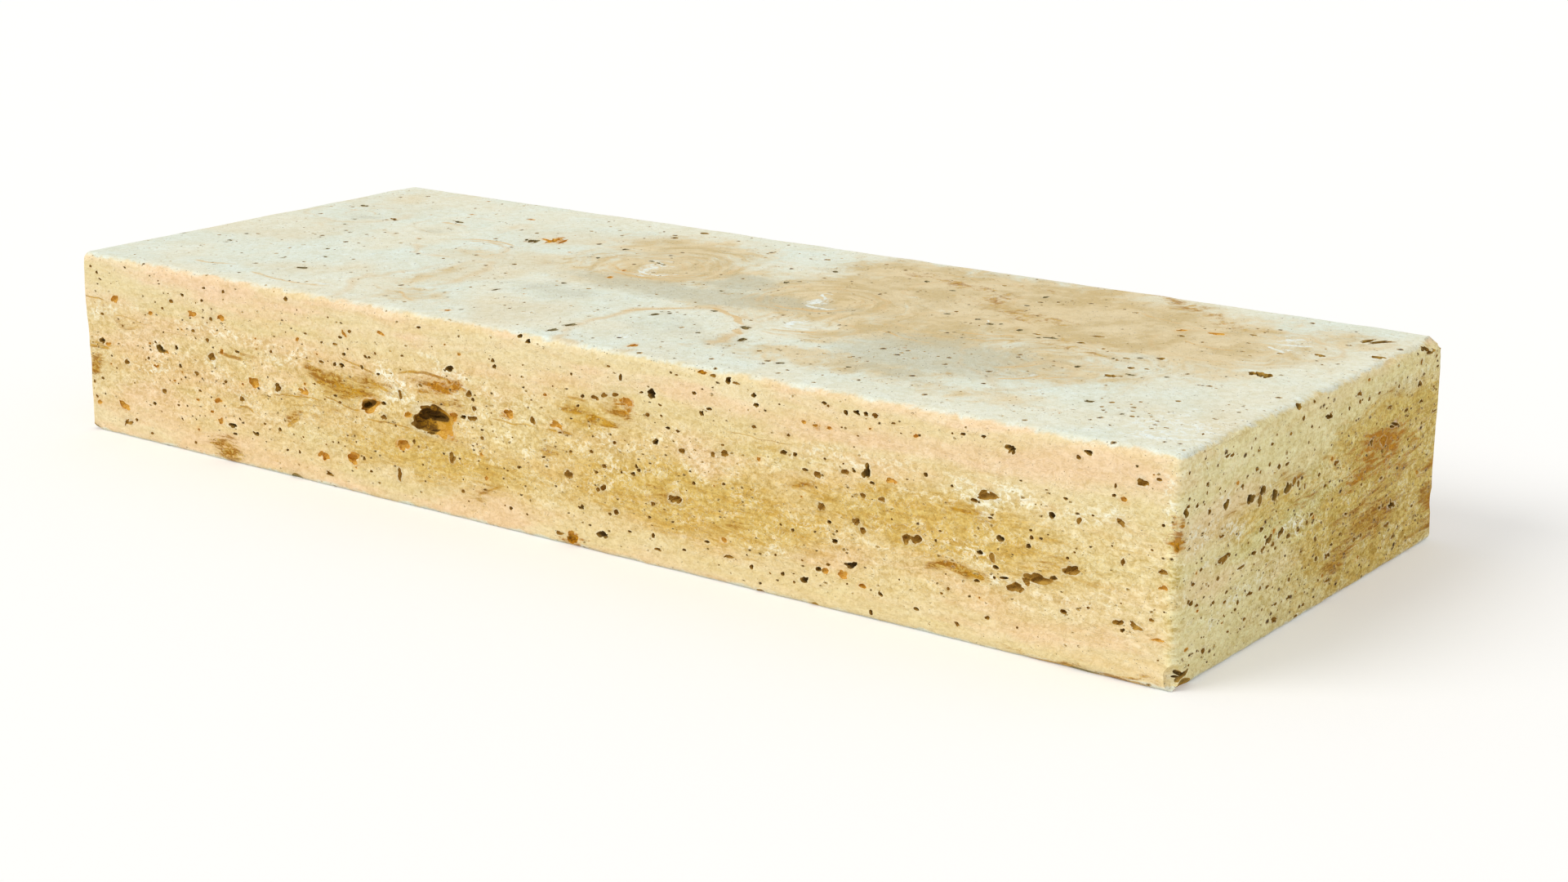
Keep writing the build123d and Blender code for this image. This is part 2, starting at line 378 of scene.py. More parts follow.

# %% [markdown]
# ## The holes
#
# The holes are what makes it travertine, so they are real shapes and not a picture on the surface.
# Each hole is cut with a lumpy ball, longer along the layers than across them. Three kinds show:
#
# - dark: deep, its walls painted darker deeper in, to near black at the bottom: painted shade,
# - olive: shallower, lined with brown-green dirt, and painted browner deeper in: painted shade,
# - rust: shallow, lined with orange iron stain.
#
# The ones that can be told apart in the picture are listed in millimetres from the corner of
# their face: along, up, width, height, tilt, kind and depth. What a row leaves out is usual: no tilt,
# dark, and a depth that follows from the size. Many smaller ones are strewn by a rule after them.

# %% Faces of the block
Face = namedtuple("Face", "corner along up out wide high")
X, Y, Z = np.eye(3)
RISER = Face(LOW, X, Z, -Y, SIZE[0], SIZE[2])
RIGHT_END = Face(np.array([HIGH[0], LOW[1], LOW[2]]), Y, Z, X, SIZE[1], SIZE[2])
TREAD = Face(np.array([LOW[0], LOW[1], HIGH[2]]), X, Y, Z, SIZE[0], SIZE[1])
BACK = Face(np.array([LOW[0], HIGH[1], LOW[2]]), X, Z, Y, SIZE[0], SIZE[2])
LEFT_END = Face(LOW, Y, Z, -X, SIZE[1], SIZE[2])
BED = Face(LOW, X, Y, -Z, SIZE[0], SIZE[1])
FACES = {
    "riser": RISER, "right_end": RIGHT_END, "tread": TREAD, "back": BACK, "left_end": LEFT_END, "bed": BED,
}
print("faces:", ", ".join(FACES))

# %% Holes of the riser
DARK, OLIVE, RUST = "dark", "olive", "rust"
USUAL = (0, DARK)


def filled(rows):
    """The rows with the usual tilt and kind where they end before them."""
    return [row + USUAL[len(row) - 4:] for row in rows]


GREAT_VUG = [
    (389, 70, 31, 18, 0, OLIVE, 10), (397, 75, 20, 10, -14, OLIVE, 8), (378, 66, 16, 10, 12, OLIVE, 7),
    (399, 66, 16, 11, -25, RUST, 6), (384, 77, 14, 8, 8, OLIVE, 7), (407, 65, 10, 7, -35, RUST, 3.5),
    (387, 71, 15, 4, -8, DARK, 12), (379, 73, 7, 4, 30, DARK, 9), (401, 77, 7, 3, -20, OLIVE, 9),
    (375, 69, 6, 3, 0, DARK, 8),
]
RISER_HOLES = filled([
    (13, 137, 3, 2), (20, 133, 3, 3), (39, 114, 10, 5, 25, RUST), (83, 108, 5, 3, 0, RUST), (98, 114, 3, 2),
    (109, 121, 5, 3, -10, OLIVE), (134, 114, 9, 4, 10, RUST), (167, 115, 9, 4, 0, RUST),
    (155, 113, 4, 3, 0, OLIVE), (183, 91, 5, 2), (112, 84, 4, 4), (92, 81, 7, 8, 20), (98, 79, 8, 3, 0, RUST),
    (80, 83, 3, 2, 0, RUST), (154, 83, 7, 7, 0, OLIVE), (165, 88, 6, 4, 0, RUST), (20, 77, 8, 4),
    (27, 75, 7, 3, 0, RUST), (51, 63, 6, 4, 0, OLIVE), (86, 65, 6, 3, 0, RUST), (134, 67, 6, 3, 0, OLIVE),
    (202, 70, 11, 7, 0, RUST), (228, 69, 8, 7, 30, OLIVE), (186, 54, 5, 4, 0, OLIVE), (137, 53, 3, 2),
    (157, 48, 9, 4, 20, RUST), (94, 46, 5, 4, 0, OLIVE), (160, 32, 5, 6, 0, RUST), (174, 31, 9, 4, -5),
    (175, 24, 5, 2), (200, 28, 7, 3), (81, 34, 4, 3), (110, 37, 3, 2), (182, 37, 3, 2), (210, 38, 3, 2),
    (227, 36, 3, 3), (12, 24, 5, 3, 0, RUST), (43, 26, 13, 5, -8, RUST), (47, 12, 10, 3, 0, OLIVE),
    (75, 8, 4, 2, 0, OLIVE), (150, 38, 4, 2, 0, RUST), (248, 22, 3, 3), (255, 71, 11, 4, -15, RUST),
    (277, 97, 5, 2, 0, OLIVE), (298, 98, 6, 3), (290, 73, 4, 2), (298, 119, 4, 2), (303, 122, 6, 3, -45, RUST),
    (292, 113, 5, 2, 0, OLIVE), (324, 108, 3, 2), (328, 108, 3, 2), (341, 128, 7, 3, 0, RUST), (380, 138, 4, 2),
    (326, 71, 18, 9, 20, RUST, 5), (322, 71, 9, 4, 24, DARK, 8), (341, 75, 5, 3), (341, 65, 6, 4, 0, OLIVE),
    (359, 85, 4, 6, 0, OLIVE), (409, 112, 9, 4, 14), (428, 96, 5, 5, 0, OLIVE), (432, 92, 3, 3),
    (433, 86, 4, 4, 0, OLIVE), (366, 71, 8, 4, 0, RUST), (389, 60, 8, 2, 3), (413, 77, 9, 6, 0, RUST),
    (422, 78, 5, 3), (431, 78, 9, 4, 0, OLIVE), (440, 65, 4, 3, 0, OLIVE), (360, 48, 12, 8, 10, RUST),
    (371, 51, 3, 3), (305, 27, 12, 8, 18, RUST), (318, 29, 3, 3), (275, 24, 11, 5, -6, RUST),
    (280, 10, 8, 3, 0, OLIVE), (355, 23, 6, 8, 0, OLIVE), (409, 44, 6, 8, 0, OLIVE), (454, 120, 4, 3),
    (467, 87, 9, 6, 0, RUST), (490, 86, 5, 6, 0, OLIVE), (325, 20, 3, 2), (571, 130, 3, 5),
    (598, 123, 10, 5, 4), (577, 114, 8, 6, 0, RUST), (512, 87, 10, 4, -10, RUST), (601, 89, 6, 4),
    (624, 87, 5, 4, 0, OLIVE), (612, 101, 4, 2), (648, 120, 5, 2), (687, 129, 4, 3), (685, 135, 4, 3),
    (660, 92, 7, 4, 0, OLIVE), (581, 63, 4, 3), (584, 69, 3, 3), (555, 64, 4, 3, 0, OLIVE),
    (618, 52, 10, 5, 22, OLIVE), (533, 30, 6, 3, 12), (551, 14, 10, 5, 8), (525, 6, 10, 8, 0, RUST),
    (512, 7, 7, 3, 0, OLIVE), (601, 13, 6, 2), (664, 20, 8, 2, 0, OLIVE), (709, 17, 3, 3), (726, 16, 8, 4),
    (744, 26, 5, 4, 0, RUST), (717, 49, 3, 2), (726, 124, 4, 2, 0, RUST), (735, 123, 4, 2, 0, RUST),
    (746, 123, 3, 2, 0, RUST), (710, 101, 7, 3), (719, 101, 3, 3), (727, 92, 4, 2), (737, 90, 5, 4, 0, OLIVE),
    (742, 139, 4, 2), (740, 70, 6, 5, 0, OLIVE), (758, 96, 6, 4, 12, OLIVE), (766, 98, 3, 2),
    (776, 99, 6, 9, 8), (795, 97, 8, 4, -6, RUST), (764, 34, 9, 5, 6), (757, 26, 9, 5, -10, RUST),
    (751, 48, 5, 3), (773, 22, 5, 3, 0, RUST), (815, 15, 5, 2), (780, 5, 3, 3), (768, 137, 5, 3),
    (775, 137, 4, 3), (782, 137, 5, 3, 0, OLIVE), (848, 136, 4, 2), (863, 137, 4, 2), (882, 133, 9, 4, -4),
    (937, 140, 7, 3), (974, 127, 7, 5, 12, OLIVE), (956, 122, 2, 3), (985, 131, 4, 2, 0, OLIVE),
    (821, 105, 3, 3), (867, 100, 13, 5, 0, OLIVE), (857, 95, 5, 3, 0, OLIVE), (922, 108, 3, 2), (913, 96, 5, 4),
    (932, 96, 3, 4, 0, OLIVE), (961, 100, 6, 4, 0, OLIVE), (877, 74, 5, 4), (897, 73, 4, 3), (899, 79, 3, 3),
    (927, 64, 11, 5, 24, OLIVE), (862, 62, 4, 3), (871, 60, 4, 6, 20, OLIVE), (874, 55, 4, 3),
    (906, 53, 17, 6, 8, OLIVE), (888, 45, 12, 6, 14, OLIVE), (768, 64, 6, 5, 0, OLIVE),
    (815, 62, 9, 6, 0, OLIVE), (806, 60, 6, 6, 0, OLIVE), (961, 37, 7, 4, 0, OLIVE),
    (974, 37, 10, 3, -15, OLIVE), (988, 32, 7, 2, 0, RUST), (963, 76, 3, 4, 0, OLIVE),
    (991, 75, 7, 3, 0, OLIVE), (991, 65, 6, 3, 0, RUST), (478, 145, 4, 3), (487, 143, 4, 4),
    (642, 144, 6, 3, 0, RUST), (651, 143, 4, 2, 0, OLIVE), (664, 142, 5, 4), (671, 141, 6, 2, 0, OLIVE),
    (521, 53, 8, 6, 0, OLIVE), (553, 48, 6, 5, 0, OLIVE), (565, 33, 5, 4, 0, OLIVE), (598, 45, 4, 3, 0, OLIVE),
    (598, 22, 3, 4), (577, 21, 3, 2), (645, 27, 4, 2), (660, 31, 5, 3, 0, RUST), (683, 17, 3, 3),
    (738, 26, 5, 3), (746, 31, 3, 2, 0, OLIVE), (773, 60, 6, 4, 0, OLIVE), (788, 83, 5, 3, 0, OLIVE),
    (773, 83, 4, 3, 0, OLIVE), (860, 43, 4, 2), (923, 36, 5, 3, 0, OLIVE), (955, 116, 3, 2),
    (962, 115, 4, 3, 0, RUST), (548, 112, 6, 3, 14, OLIVE), (556, 115, 7, 3, 10, OLIVE),
    (566, 117, 5, 3, 0, OLIVE), (896, 50, 6, 4, 0, OLIVE), (880, 49, 5, 3), (916, 56, 6, 3, 10),
])
print(len(RISER_HOLES) + len(GREAT_VUG), "holes of the riser are placed by hand")

# %% Holes of the right end and the tread
END_HOLES = filled([
    (7, 112, 7, 5, -10), (10, 115, 4, 2), (58, 104, 8, 6), (90, 100, 9, 7), (107, 101, 8, 5, 20),
    (104, 96, 5, 8), (125, 95, 9, 7), (142, 95, 9, 7, -40), (157, 94, 3, 5), (167, 90, 2, 4, 0, OLIVE),
    (54, 85, 6, 2, 0, OLIVE), (108, 76, 5, 3), (57, 70, 13, 4, 6, OLIVE), (99, 63, 5, 3), (111, 62, 7, 3),
    (119, 66, 8, 5, 6), (125, 62, 4, 3, 0, OLIVE), (135, 67, 9, 5, -5), (147, 62, 5, 3),
    (161, 62, 4, 2, 0, OLIVE), (37, 105, 4, 3), (79, 111, 4, 2), (98, 117, 4, 2, 0, OLIVE), (128, 112, 5, 3),
    (140, 111, 6, 2), (151, 97, 4, 5, 0, OLIVE), (232, 55, 4, 2), (225, 43, 4, 2), (212, 39, 4, 2),
    (296, 52, 4, 2), (300, 30, 8, 3, -6, OLIVE), (133, 20, 4, 2), (152, 19, 6, 2, -8), (90, 22, 4, 2, 0, OLIVE),
    (164, 3, 5, 2), (62, 41, 4, 2, 0, OLIVE), (20, 64, 5, 2, -10, OLIVE), (52, 59, 3, 3), (82, 58, 8, 2),
    (129, 58, 3, 2), (173, 64, 3, 3, 0, OLIVE), (179, 68, 5, 2), (19, 52, 5, 3), (26, 49, 5, 2, -10, OLIVE),
    (64, 47, 4, 2), (96, 37, 9, 2, -4), (120, 35, 4, 2), (77, 32, 3, 2), (37, 17, 4, 4, 0, OLIVE),
    (15, 24, 5, 2, 0, RUST), (57, 135, 5, 2), (63, 134, 7, 2, -4), (117, 129, 4, 2), (143, 130, 4, 2, 0, OLIVE),
    (173, 128, 3, 2), (154, 145, 5, 4), (175, 144, 3, 2), (197, 129, 11, 3, -10), (242, 135, 8, 3, -6, OLIVE),
    (274, 129, 6, 2), (342, 121, 7, 4), (342, 137, 3, 4, 0, OLIVE), (347, 145, 10, 3, -35),
    (354, 141, 8, 3, -10, OLIVE), (361, 141, 8, 3, 15), (375, 138, 3, 5, 0, OLIVE), (292, 115, 9, 2, -4, OLIVE),
    (321, 107, 5, 2), (345, 108, 7, 2), (303, 101, 13, 3, -18), (370, 96, 8, 2, 0, OLIVE),
    (212, 95, 7, 3, 0, OLIVE), (266, 97, 6, 4), (285, 94, 10, 7, 0, RUST), (285, 86, 3, 3), (197, 83, 4, 2),
    (327, 85, 3, 2), (254, 70, 3, 2), (286, 67, 5, 2), (307, 43, 12, 4, -4), (286, 46, 4, 2), (190, 35, 4, 3),
    (208, 33, 9, 3, -15, OLIVE), (248, 33, 4, 3, 0, OLIVE), (209, 15, 9, 2, 0, OLIVE),
    (311, 19, 6, 3, 25, OLIVE), (132, 10, 9, 3, -15, OLIVE), (174, 8, 4, 2), (10, 9, 14, 4, 6),
])
TREAD_HOLES = filled([
    (38, 279, 9, 5, -30, OLIVE), (158, 274, 9, 5, -30, OLIVE), (104, 251, 8, 5, -40), (358, 360, 10, 7, 20),
    (350, 331, 7, 6, 80), (200, 320, 7, 4, -20, RUST), (277, 262, 27, 6, 100, RUST),
    (263, 250, 16, 6, 118, OLIVE), (347, 270, 7, 4, 85, OLIVE), (395, 246, 6, 3, 0, OLIVE),
    (405, 243, 6, 3, -20, OLIVE), (411, 241, 5, 3, 0, OLIVE), (352, 231, 5, 3, -60, OLIVE),
    (400, 206, 3, 5, 0, RUST), (408, 180, 5, 7, 25, RUST), (316, 172, 4, 4), (394, 143, 5, 4, 0, OLIVE),
    (368, 95, 4, 6, 0, OLIVE), (192, 62, 9, 7, 0, OLIVE), (63, 104, 6, 3, -30, OLIVE),
    (175, 104, 6, 3, -30, OLIVE), (52, 131, 4, 3, 0, OLIVE), (153, 127, 4, 3, 0, OLIVE),
    (388, 22, 6, 4, -10, RUST), (490, 42, 5, 12, -15, OLIVE), (491, 22, 5, 10, -15, OLIVE),
    (545, 137, 6, 4, 0, OLIVE), (595, 107, 10, 6, -30, OLIVE), (517, 102, 5, 9, 5, OLIVE),
    (616, 78, 7, 9, 10, OLIVE), (578, 76, 4, 3, 0, OLIVE), (566, 20, 5, 8, 20, RUST), (677, 40, 6, 5, 0, OLIVE),
    (720, 58, 4, 3, 0, OLIVE), (612, 313, 6, 5, 0, OLIVE), (534, 301, 6, 5, 0, OLIVE), (667, 336, 4, 3),
    (528, 245, 4, 7, 20, OLIVE), (503, 334, 5, 4, 30), (713, 320, 3, 8, 0, OLIVE), (645, 298, 5, 3, 0, OLIVE),
    (716, 287, 5, 3, 0, OLIVE), (685, 230, 5, 4, 0, OLIVE), (712, 228, 6, 3, 80, OLIVE),
    (727, 221, 5, 4, 0, OLIVE), (753, 217, 7, 4, -60, OLIVE), (783, 210, 10, 4, 0, OLIVE),
    (808, 233, 10, 4, 10), (808, 210, 5, 4), (829, 204, 3, 3), (874, 204, 6, 6), (845, 285, 6, 6, 0, RUST),
    (869, 291, 11, 6, 20, RUST), (853, 270, 6, 5, -50), (892, 302, 5, 3), (947, 203, 16, 8, -58),
    (956, 275, 8, 6, -45), (931, 264, 4, 3), (971, 334, 24, 6, 62), (990, 293, 10, 6, -50),
    (840, 150, 6, 4, -60, OLIVE), (869, 142, 10, 5, -20), (870, 168, 6, 5, -50), (879, 152, 6, 4, -40, OLIVE),
    (892, 76, 8, 4, 0, OLIVE), (905, 83, 3, 3), (924, 62, 3, 3, 0, OLIVE), (905, 70, 3, 3), (919, 95, 3, 2),
    (922, 80, 4, 3, 20), (932, 61, 4, 3), (917, 86, 2, 2), (950, 60, 3, 2), (953, 52, 3, 2), (962, 50, 3, 2),
    (926, 72, 3, 2), (895, 88, 2, 2), (937, 73, 2, 2), (914, 60, 2, 2), (942, 67, 2, 2), (855, 190, 5, 3),
    (862, 196, 4, 3, 40, OLIVE), (880, 172, 4, 3), (848, 184, 3, 3, 0, OLIVE), (733, 226, 3, 4, 0, OLIVE),
    (770, 214, 6, 3, -30), (776, 206, 3, 3, 0, OLIVE), (686, 240, 3, 3),
])
print(len(END_HOLES), "on the right end and", len(TREAD_HOLES), "on the tread")

# %% [markdown]
# ### Strewn holes
#
# Between the larger holes there are hundreds of small ones. They aren't even: each warm season of the
# spring left a porous layer, so on the sides most of them lie in rows, and the rows run round all four
# sides at the same heights. On the tread and the bed the saw went along a layer, so there they scatter.
# The draws are seeded, so every run strews them the same way.

# %% Strewn holes
POROUS_LAYERS = (137, 124, 113, 99, 85, 70, 58, 46, 31, 17)
LAYER_SPREAD = 3.2
SMALLEST = 1.7
USUAL_EXTRA = 0.95
KEEP_OFF = 7
IN_LAYERS = 0.75
FLATNESS = (0.45, 0.95)
LININGS, LINING_SHARES = (DARK, OLIVE, RUST), (0.62, 0.28, 0.10)
LOBED_FROM, MORE_LOBED_FROM = 6.0, 10.0
MIDDLE_LOBE, LOBE_OUT, LOBE_SHARE = 0.78, 0.36, (0.42, 0.62)
LOBE_SEED = 4


def strewn(face, count, seed, taken=(), largest=7.0):
    """Small holes by a rule, clear of the ones already taken."""
    random = np.random.default_rng(seed)
    wide, high = face.wide / MM, face.high / MM
    on_side = face.out[2] == 0
    placed = [tuple(hole[:3]) for hole in taken]
    made = []
    for _ in range(count):
        along = random.uniform(KEEP_OFF, wide - KEEP_OFF)
        up = random.uniform(KEEP_OFF, high - KEEP_OFF)
        if on_side and random.random() < IN_LAYERS:
            up = random.choice(POROUS_LAYERS) + random.normal(0, LAYER_SPREAD)
        width = min(SMALLEST + random.exponential(USUAL_EXTRA), largest)
        flat = random.uniform(*FLATNESS)
        tilt = random.normal(0, 12) if on_side else random.uniform(0, 180)
        lining = random.choice(LININGS, p=LINING_SHARES)
        room = all(abs(along - a) + abs(up - b) > (width + w) / 2 + 1 for a, b, w in placed)
        if room and KEEP_OFF / 2 < up < high - KEEP_OFF / 2:
            placed.append((along, up, width))
            made.append((along, up, width, width * flat, tilt, lining))
    return made


def lobes(hole, random):
    """A larger hole as a few that overlap, so that its outline is ragged."""
    along, up, width, height, tilt, lining = hole[:6]
    if len(hole) > 6 or max(width, height) < LOBED_FROM:
        return [hole]
    parts = [(along, up, MIDDLE_LOBE * width, MIDDLE_LOBE * height, tilt, lining)]
    for _ in range(2 if max(width, height) < MORE_LOBED_FROM else 3):
        way = random.uniform(0, 2 * np.pi)
        share = random.uniform(*LOBE_SHARE)
        place = (along + LOBE_OUT * width * np.cos(way), up + LOBE_OUT * height * np.sin(way))
        parts.append((*place, share * width, 1.15 * share * height, tilt + random.normal(0, 25), lining))
    return parts


random = np.random.default_rng(LOBE_SEED)
HOLES = [(face, part) for face, listed in (
    (RISER, GREAT_VUG + RISER_HOLES + strewn(RISER, 270, 11, GREAT_VUG + RISER_HOLES, 3.6)),
    (RIGHT_END, END_HOLES + strewn(RIGHT_END, 130, 12, END_HOLES, 3.6)),
    (TREAD, TREAD_HOLES + strewn(TREAD, 110, 13, TREAD_HOLES, 3.6)),
    (BACK, strewn(BACK, 180, 14, (), 11.0)),
    (LEFT_END, strewn(LEFT_END, 72, 15, (), 10.0)),
    (BED, strewn(BED, 40, 16, (), 8.0)),
) for hole in listed for part in lobes(hole, random)]
print(len(HOLES), "holes and lobes in all")

# %% [markdown]
# ### Lumpy balls
#
# A hole in stone has no two sides alike. One ball per hole is pushed in and out by a few slow waves
# that run through it in different directions, which is quicker than noise and just as uneven. A big
# hole gets a finer ball than a small one, so that the triangles go where they can be seen. On the
# back, the left end and the bed the axes are mirrored, so there the triangles are turned over.

# %% Lumpy balls
DEPTH_SHARE = {DARK: 1.4, OLIVE: 0.95, RUST: 0.65}
LEAST_DEPTH = 0.7
SUNK = 0.25
GROWN = 1.14
LUMPS = 0.30
FINER_FROM = (2.7, 8.0, 14.0)
LUMP_WAVE = 2.6
CUTTER_SEED = 5


def ball(fineness):
    """Points and triangles of a round ball of radius 1."""
    made = bmesh.new()
    bmesh.ops.create_icosphere(made, subdivisions=fineness, radius=1)
    places = np.array([vertex.co[:] for vertex in made.verts])
    triangles = np.array([[vertex.index for vertex in face.verts] for face in made.faces])
    made.free()
    return places, triangles


BALLS = [ball(fineness) for fineness in (1, 2, 3, 4)]


def depth_of(hole):
    """The depth of a hole in millimetres: as listed, or by its size and its lining."""
    if len(hole) > 6:
        return hole[6]
    return LEAST_DEPTH + DEPTH_SHARE[hole[5]] * min(hole[3], 0.7 * hole[2])


def hole_frame(face, hole):
    """The hole's middle on its face, and its three half-axes."""
    along, up, width, height, tilt = np.array(hole[:5], float)
    turn = np.radians(tilt)
    middle = face.corner + face.along * along * MM + face.up * up * MM
    long_way = (face.along * np.cos(turn) + face.up * np.sin(turn)) * GROWN * width * MM / 2
    short_way = (face.up * np.cos(turn) - face.along * np.sin(turn)) * GROWN * height * MM / 2
    return middle, long_way, short_way, face.out * depth_of(hole) * MM / (1 + SUNK)


def lumpy_ball(face, hole, random):
    """A closed cutter for one hole."""
    size = max(hole[2], hole[3])
    places, triangles = BALLS[sum(size > limit for limit in FINER_FROM)]
    waves = random.normal(0, LUMP_WAVE, (3, 6))
    lumps = np.sin(places @ waves + random.uniform(0, 6.3, 6)).mean(1) * 2
    shaped = places * (1 + LUMPS * lumps)[:, None]
    middle, long_way, short_way, outwards = hole_frame(face, hole)
    middle = middle - SUNK * outwards
    half_axes = np.stack([long_way, short_way, outwards])
    if np.linalg.det(half_axes) < 0:
        triangles = triangles[:, ::-1]
    return middle + shaped @ half_axes, triangles


random = np.random.default_rng(CUTTER_SEED)
cutters = [lumpy_ball(face, hole, random) for face, hole in HOLES]
print("cutters:", len(cutters), "with", sum(len(triangles) for _, triangles in cutters), "triangles")

# %% [markdown]
# ### Spalls
#
# A spall is a flake knocked off an arris. It is wider than it is deep, so a flat, rough ball that
# stands half outside the block leaves the right scar. Where two spalls meet, the corner looks broken,
# as at the back right corner of the tread. Two are lined with rust.

# %% Spalls
SPALL_GRAIN, SPALL_WAVE = 0.35, 3.0
Spall = namedtuple("Spall", "place half_sizes lining")


def spot(along, across, height):
    """A place on the block in millimetres from its left front corner on the bed."""
    return LOW + np.array([along, across, height]) * MM


WIDE, DEEP, TALL = SIZE / MM
SPALLS = [Spall(spot(*place), half_sizes, *lining or [None]) for place, half_sizes, *lining in (
    ((655, -2, TALL + 1), (16, 5, 4.5)), ((270, -2, TALL + 1), (11, 5, 4.5)), ((80, -2, TALL + 1), (9, 5, 4.5)),
    ((600, -2, TALL + 1), (8, 5, 4.5)), ((830, -2, TALL + 1), (11, 5, 4.5)),
    ((395, -2, TALL + 1), (10, 5, 4.5)), ((925, -2, TALL + 1), (14, 5, 4.5)),
    ((175, -2, TALL + 1), (13, 5, 4.2)), ((WIDE + 2, 76, TALL + 1), (5, 10, 4.5)),
    ((WIDE + 2, 154, TALL + 1), (5, 9, 5), DARK), ((WIDE + 1, 175, TALL + 2), (5, 12, 5)),
    ((WIDE + 1, 292, TALL + 1), (6, 14, 6)), ((WIDE + 2, DEEP - 8, TALL + 3), (12, 17, 12)),
    ((WIDE, DEEP + 2, TALL - 14), (7, 8, 12), OLIVE), ((520, DEEP + 2, TALL + 1), (11, 5, 4.5)),
    ((612, DEEP + 1, TALL + 1), (8, 5, 4.5), DARK), ((800, DEEP + 2, TALL + 1), (15, 5, 4.5)),
    ((240, DEEP + 2, TALL + 1), (13, 5, 4.5)), ((WIDE + 0.3, -0.3, 92), (3.6, 4.2, 5), RUST),
    ((WIDE + 1, -0.5, 99), (2.6, 3.0, 3), RUST), ((WIDE + 0.6, -0.3, 107), (3.0, 3.6, 4), RUST),
    ((WIDE + 2, -2, 60), (6, 6, 9)), ((WIDE + 2, -2, 126), (6, 6, 10)), ((WIDE + 2, -2, 8), (9, 9, 11)),
    ((WIDE + 1, 12, -2), (6, 12, 7), DARK), ((WIDE + 1, 210, -2), (6, 14, 5)),
    ((243, -1, -1), (7, 5, 6), OLIVE), ((4, -1, -1), (7, 6, 7), OLIVE), ((690, -1, -1), (5, 4, 4), DARK),
    ((735, -1, -1), (6, 4, 4.5), DARK), ((941, -2, -2), (22, 5, 5), OLIVE), ((-2, -2, 96), (6, 6, 13)),
    ((-1, DEEP + 1, TALL), (11, 9, 9)), ((-2, 120, TALL + 1), (5, 13, 5)), ((-2, 260, TALL + 1), (5, 10, 5)),
    ((-2, DEEP + 2, 60), (6, 6, 14)), ((420, DEEP + 2, -2), (16, 5, 6)), ((WIDE + 1, DEEP + 1, 30), (8, 8, 12)),
)]


def flake(spall, random):
    """A rough, flat ball over an arris."""
    places, triangles = BALLS[3 if max(spall.half_sizes) > 10 else 2]
    waves = random.normal(0, SPALL_WAVE, (3, 8))
    rough = np.sin(places @ waves + random.uniform(0, 6.3, 8)).mean(1)
    shaped = places * (1 + SPALL_GRAIN * rough)[:, None]
    return spall.place + shaped * np.array(spall.half_sizes) * MM, triangles


flakes = [flake(spall, random) for spall in SPALLS]
print(len(flakes), "spalls")

# %% [markdown]
# ### Cutting
#
# A Boolean modifier can take all the cutters out of the skin at once, as long as they don't run into
# each other. So the cutters are first dealt out into rounds in which none touch. Few rounds are
# needed, because only the lobes of the great vug and a few neighbours overlap. The manifold solver is
# quick and always leaves a closed shape. The cutters use the second finish, so the cut walls get it.

# %% Cutting
def deal_rounds(shapes):
    """Deals closed shapes out into rounds whose boxes don't touch."""
    rounds = []
    for places, triangles in shapes:
        low, high = places.min(0), places.max(0)
        for dealt in rounds:
            if all((low > other[1]).any() or (high < other[0]).any() for other in dealt["boxes"]):
                break
        else:
            dealt = {"boxes": [], "shapes": []}
            rounds.append(dealt)
        dealt["boxes"].append((low, high))
        dealt["shapes"].append((places, triangles))
    return [dealt["shapes"] for dealt in rounds]


def joined(shapes, slot):
    """One object from several closed shapes, all in one finish slot."""
    starts = np.cumsum([0] + [len(places) for places, _ in shapes[:-1]])
    places = np.concatenate([places for places, _ in shapes])
    triangles = np.concatenate([triangles + start for (_, triangles), start in zip(shapes, starts)])
    mesh = bpy.data.meshes.new("cutter")
    mesh.from_pydata(places.tolist(), [], triangles.tolist())
    mesh.polygons.foreach_set("material_index", [slot] * len(mesh.polygons))
    made = bpy.data.objects.new("cutter", mesh)
    scene.collection.objects.link(made)
    return made


face_finish = bpy.data.materials.new("travertine_face")
vug_finish = bpy.data.materials.new("travertine_vug")


def cut(skin, cutter):
    """Takes the cutter out of the skin, for good, and deletes it."""
    for finish in (face_finish, vug_finish):
        cutter.data.materials.append(finish)
    modifier = skin.modifiers.new("holes", "BOOLEAN")
    modifier.operation = "DIFFERENCE"
    modifier.solver = "MANIFOLD"
    modifier.object = cutter
    left = bpy.data.meshes.new_from_object(skin.evaluated_get(bpy.context.evaluated_depsgraph_get()))
    skin.modifiers.clear()
    old = skin.data
    skin.data = left
    bpy.data.meshes.remove(old)
    mesh = cutter.data
    bpy.data.objects.remove(cutter)
    bpy.data.meshes.remove(mesh)


skin_mesh = bpy.data.meshes.new("stone")
skin_mesh.from_pydata(points.tolist(), [], faces)
stone = bpy.data.objects.new("stone", skin_mesh)
scene.collection.objects.link(stone)
for finish in (face_finish, vug_finish):
    skin_mesh.materials.append(finish)

bare = [shape for shape, spall in zip(flakes, SPALLS) if spall.lining is None]
lined = [shape for shape, spall in zip(flakes, SPALLS) if spall.lining is not None]
for shapes, slot in ((bare, 0), (lined, 1), (cutters, 1)):
    for round_shapes in deal_rounds(shapes):
        cut(stone, joined(round_shapes, slot))
stone.data.name = "stone"
print(len(stone.data.polygons), "faces after cutting;", [m.name for m in stone.data.materials])

# %% [markdown]
# ## Where the colours lie
#
# The stone's colour has two parts. One is a rule that holds all through the block: layers, mottling
# and grain, which nodes make from the place in the stone. The other is where this block happens to
# have an ochre band, a white patch of crystals or a rust stain. Those are listed as soft
# ellipses in millimetres on their face: along, up, width, height, strength and, if any, tilt. Each kind
# is written to the mesh as a mask from 0 to 1.
# The places are shaken by noise first, so no ellipse shows. The noise is seeded, because noise_vector
# takes its offsets from the clock otherwise. The nodes later give each mask a ragged edge.

# %% Places and masks
SHARP_FROM = 42

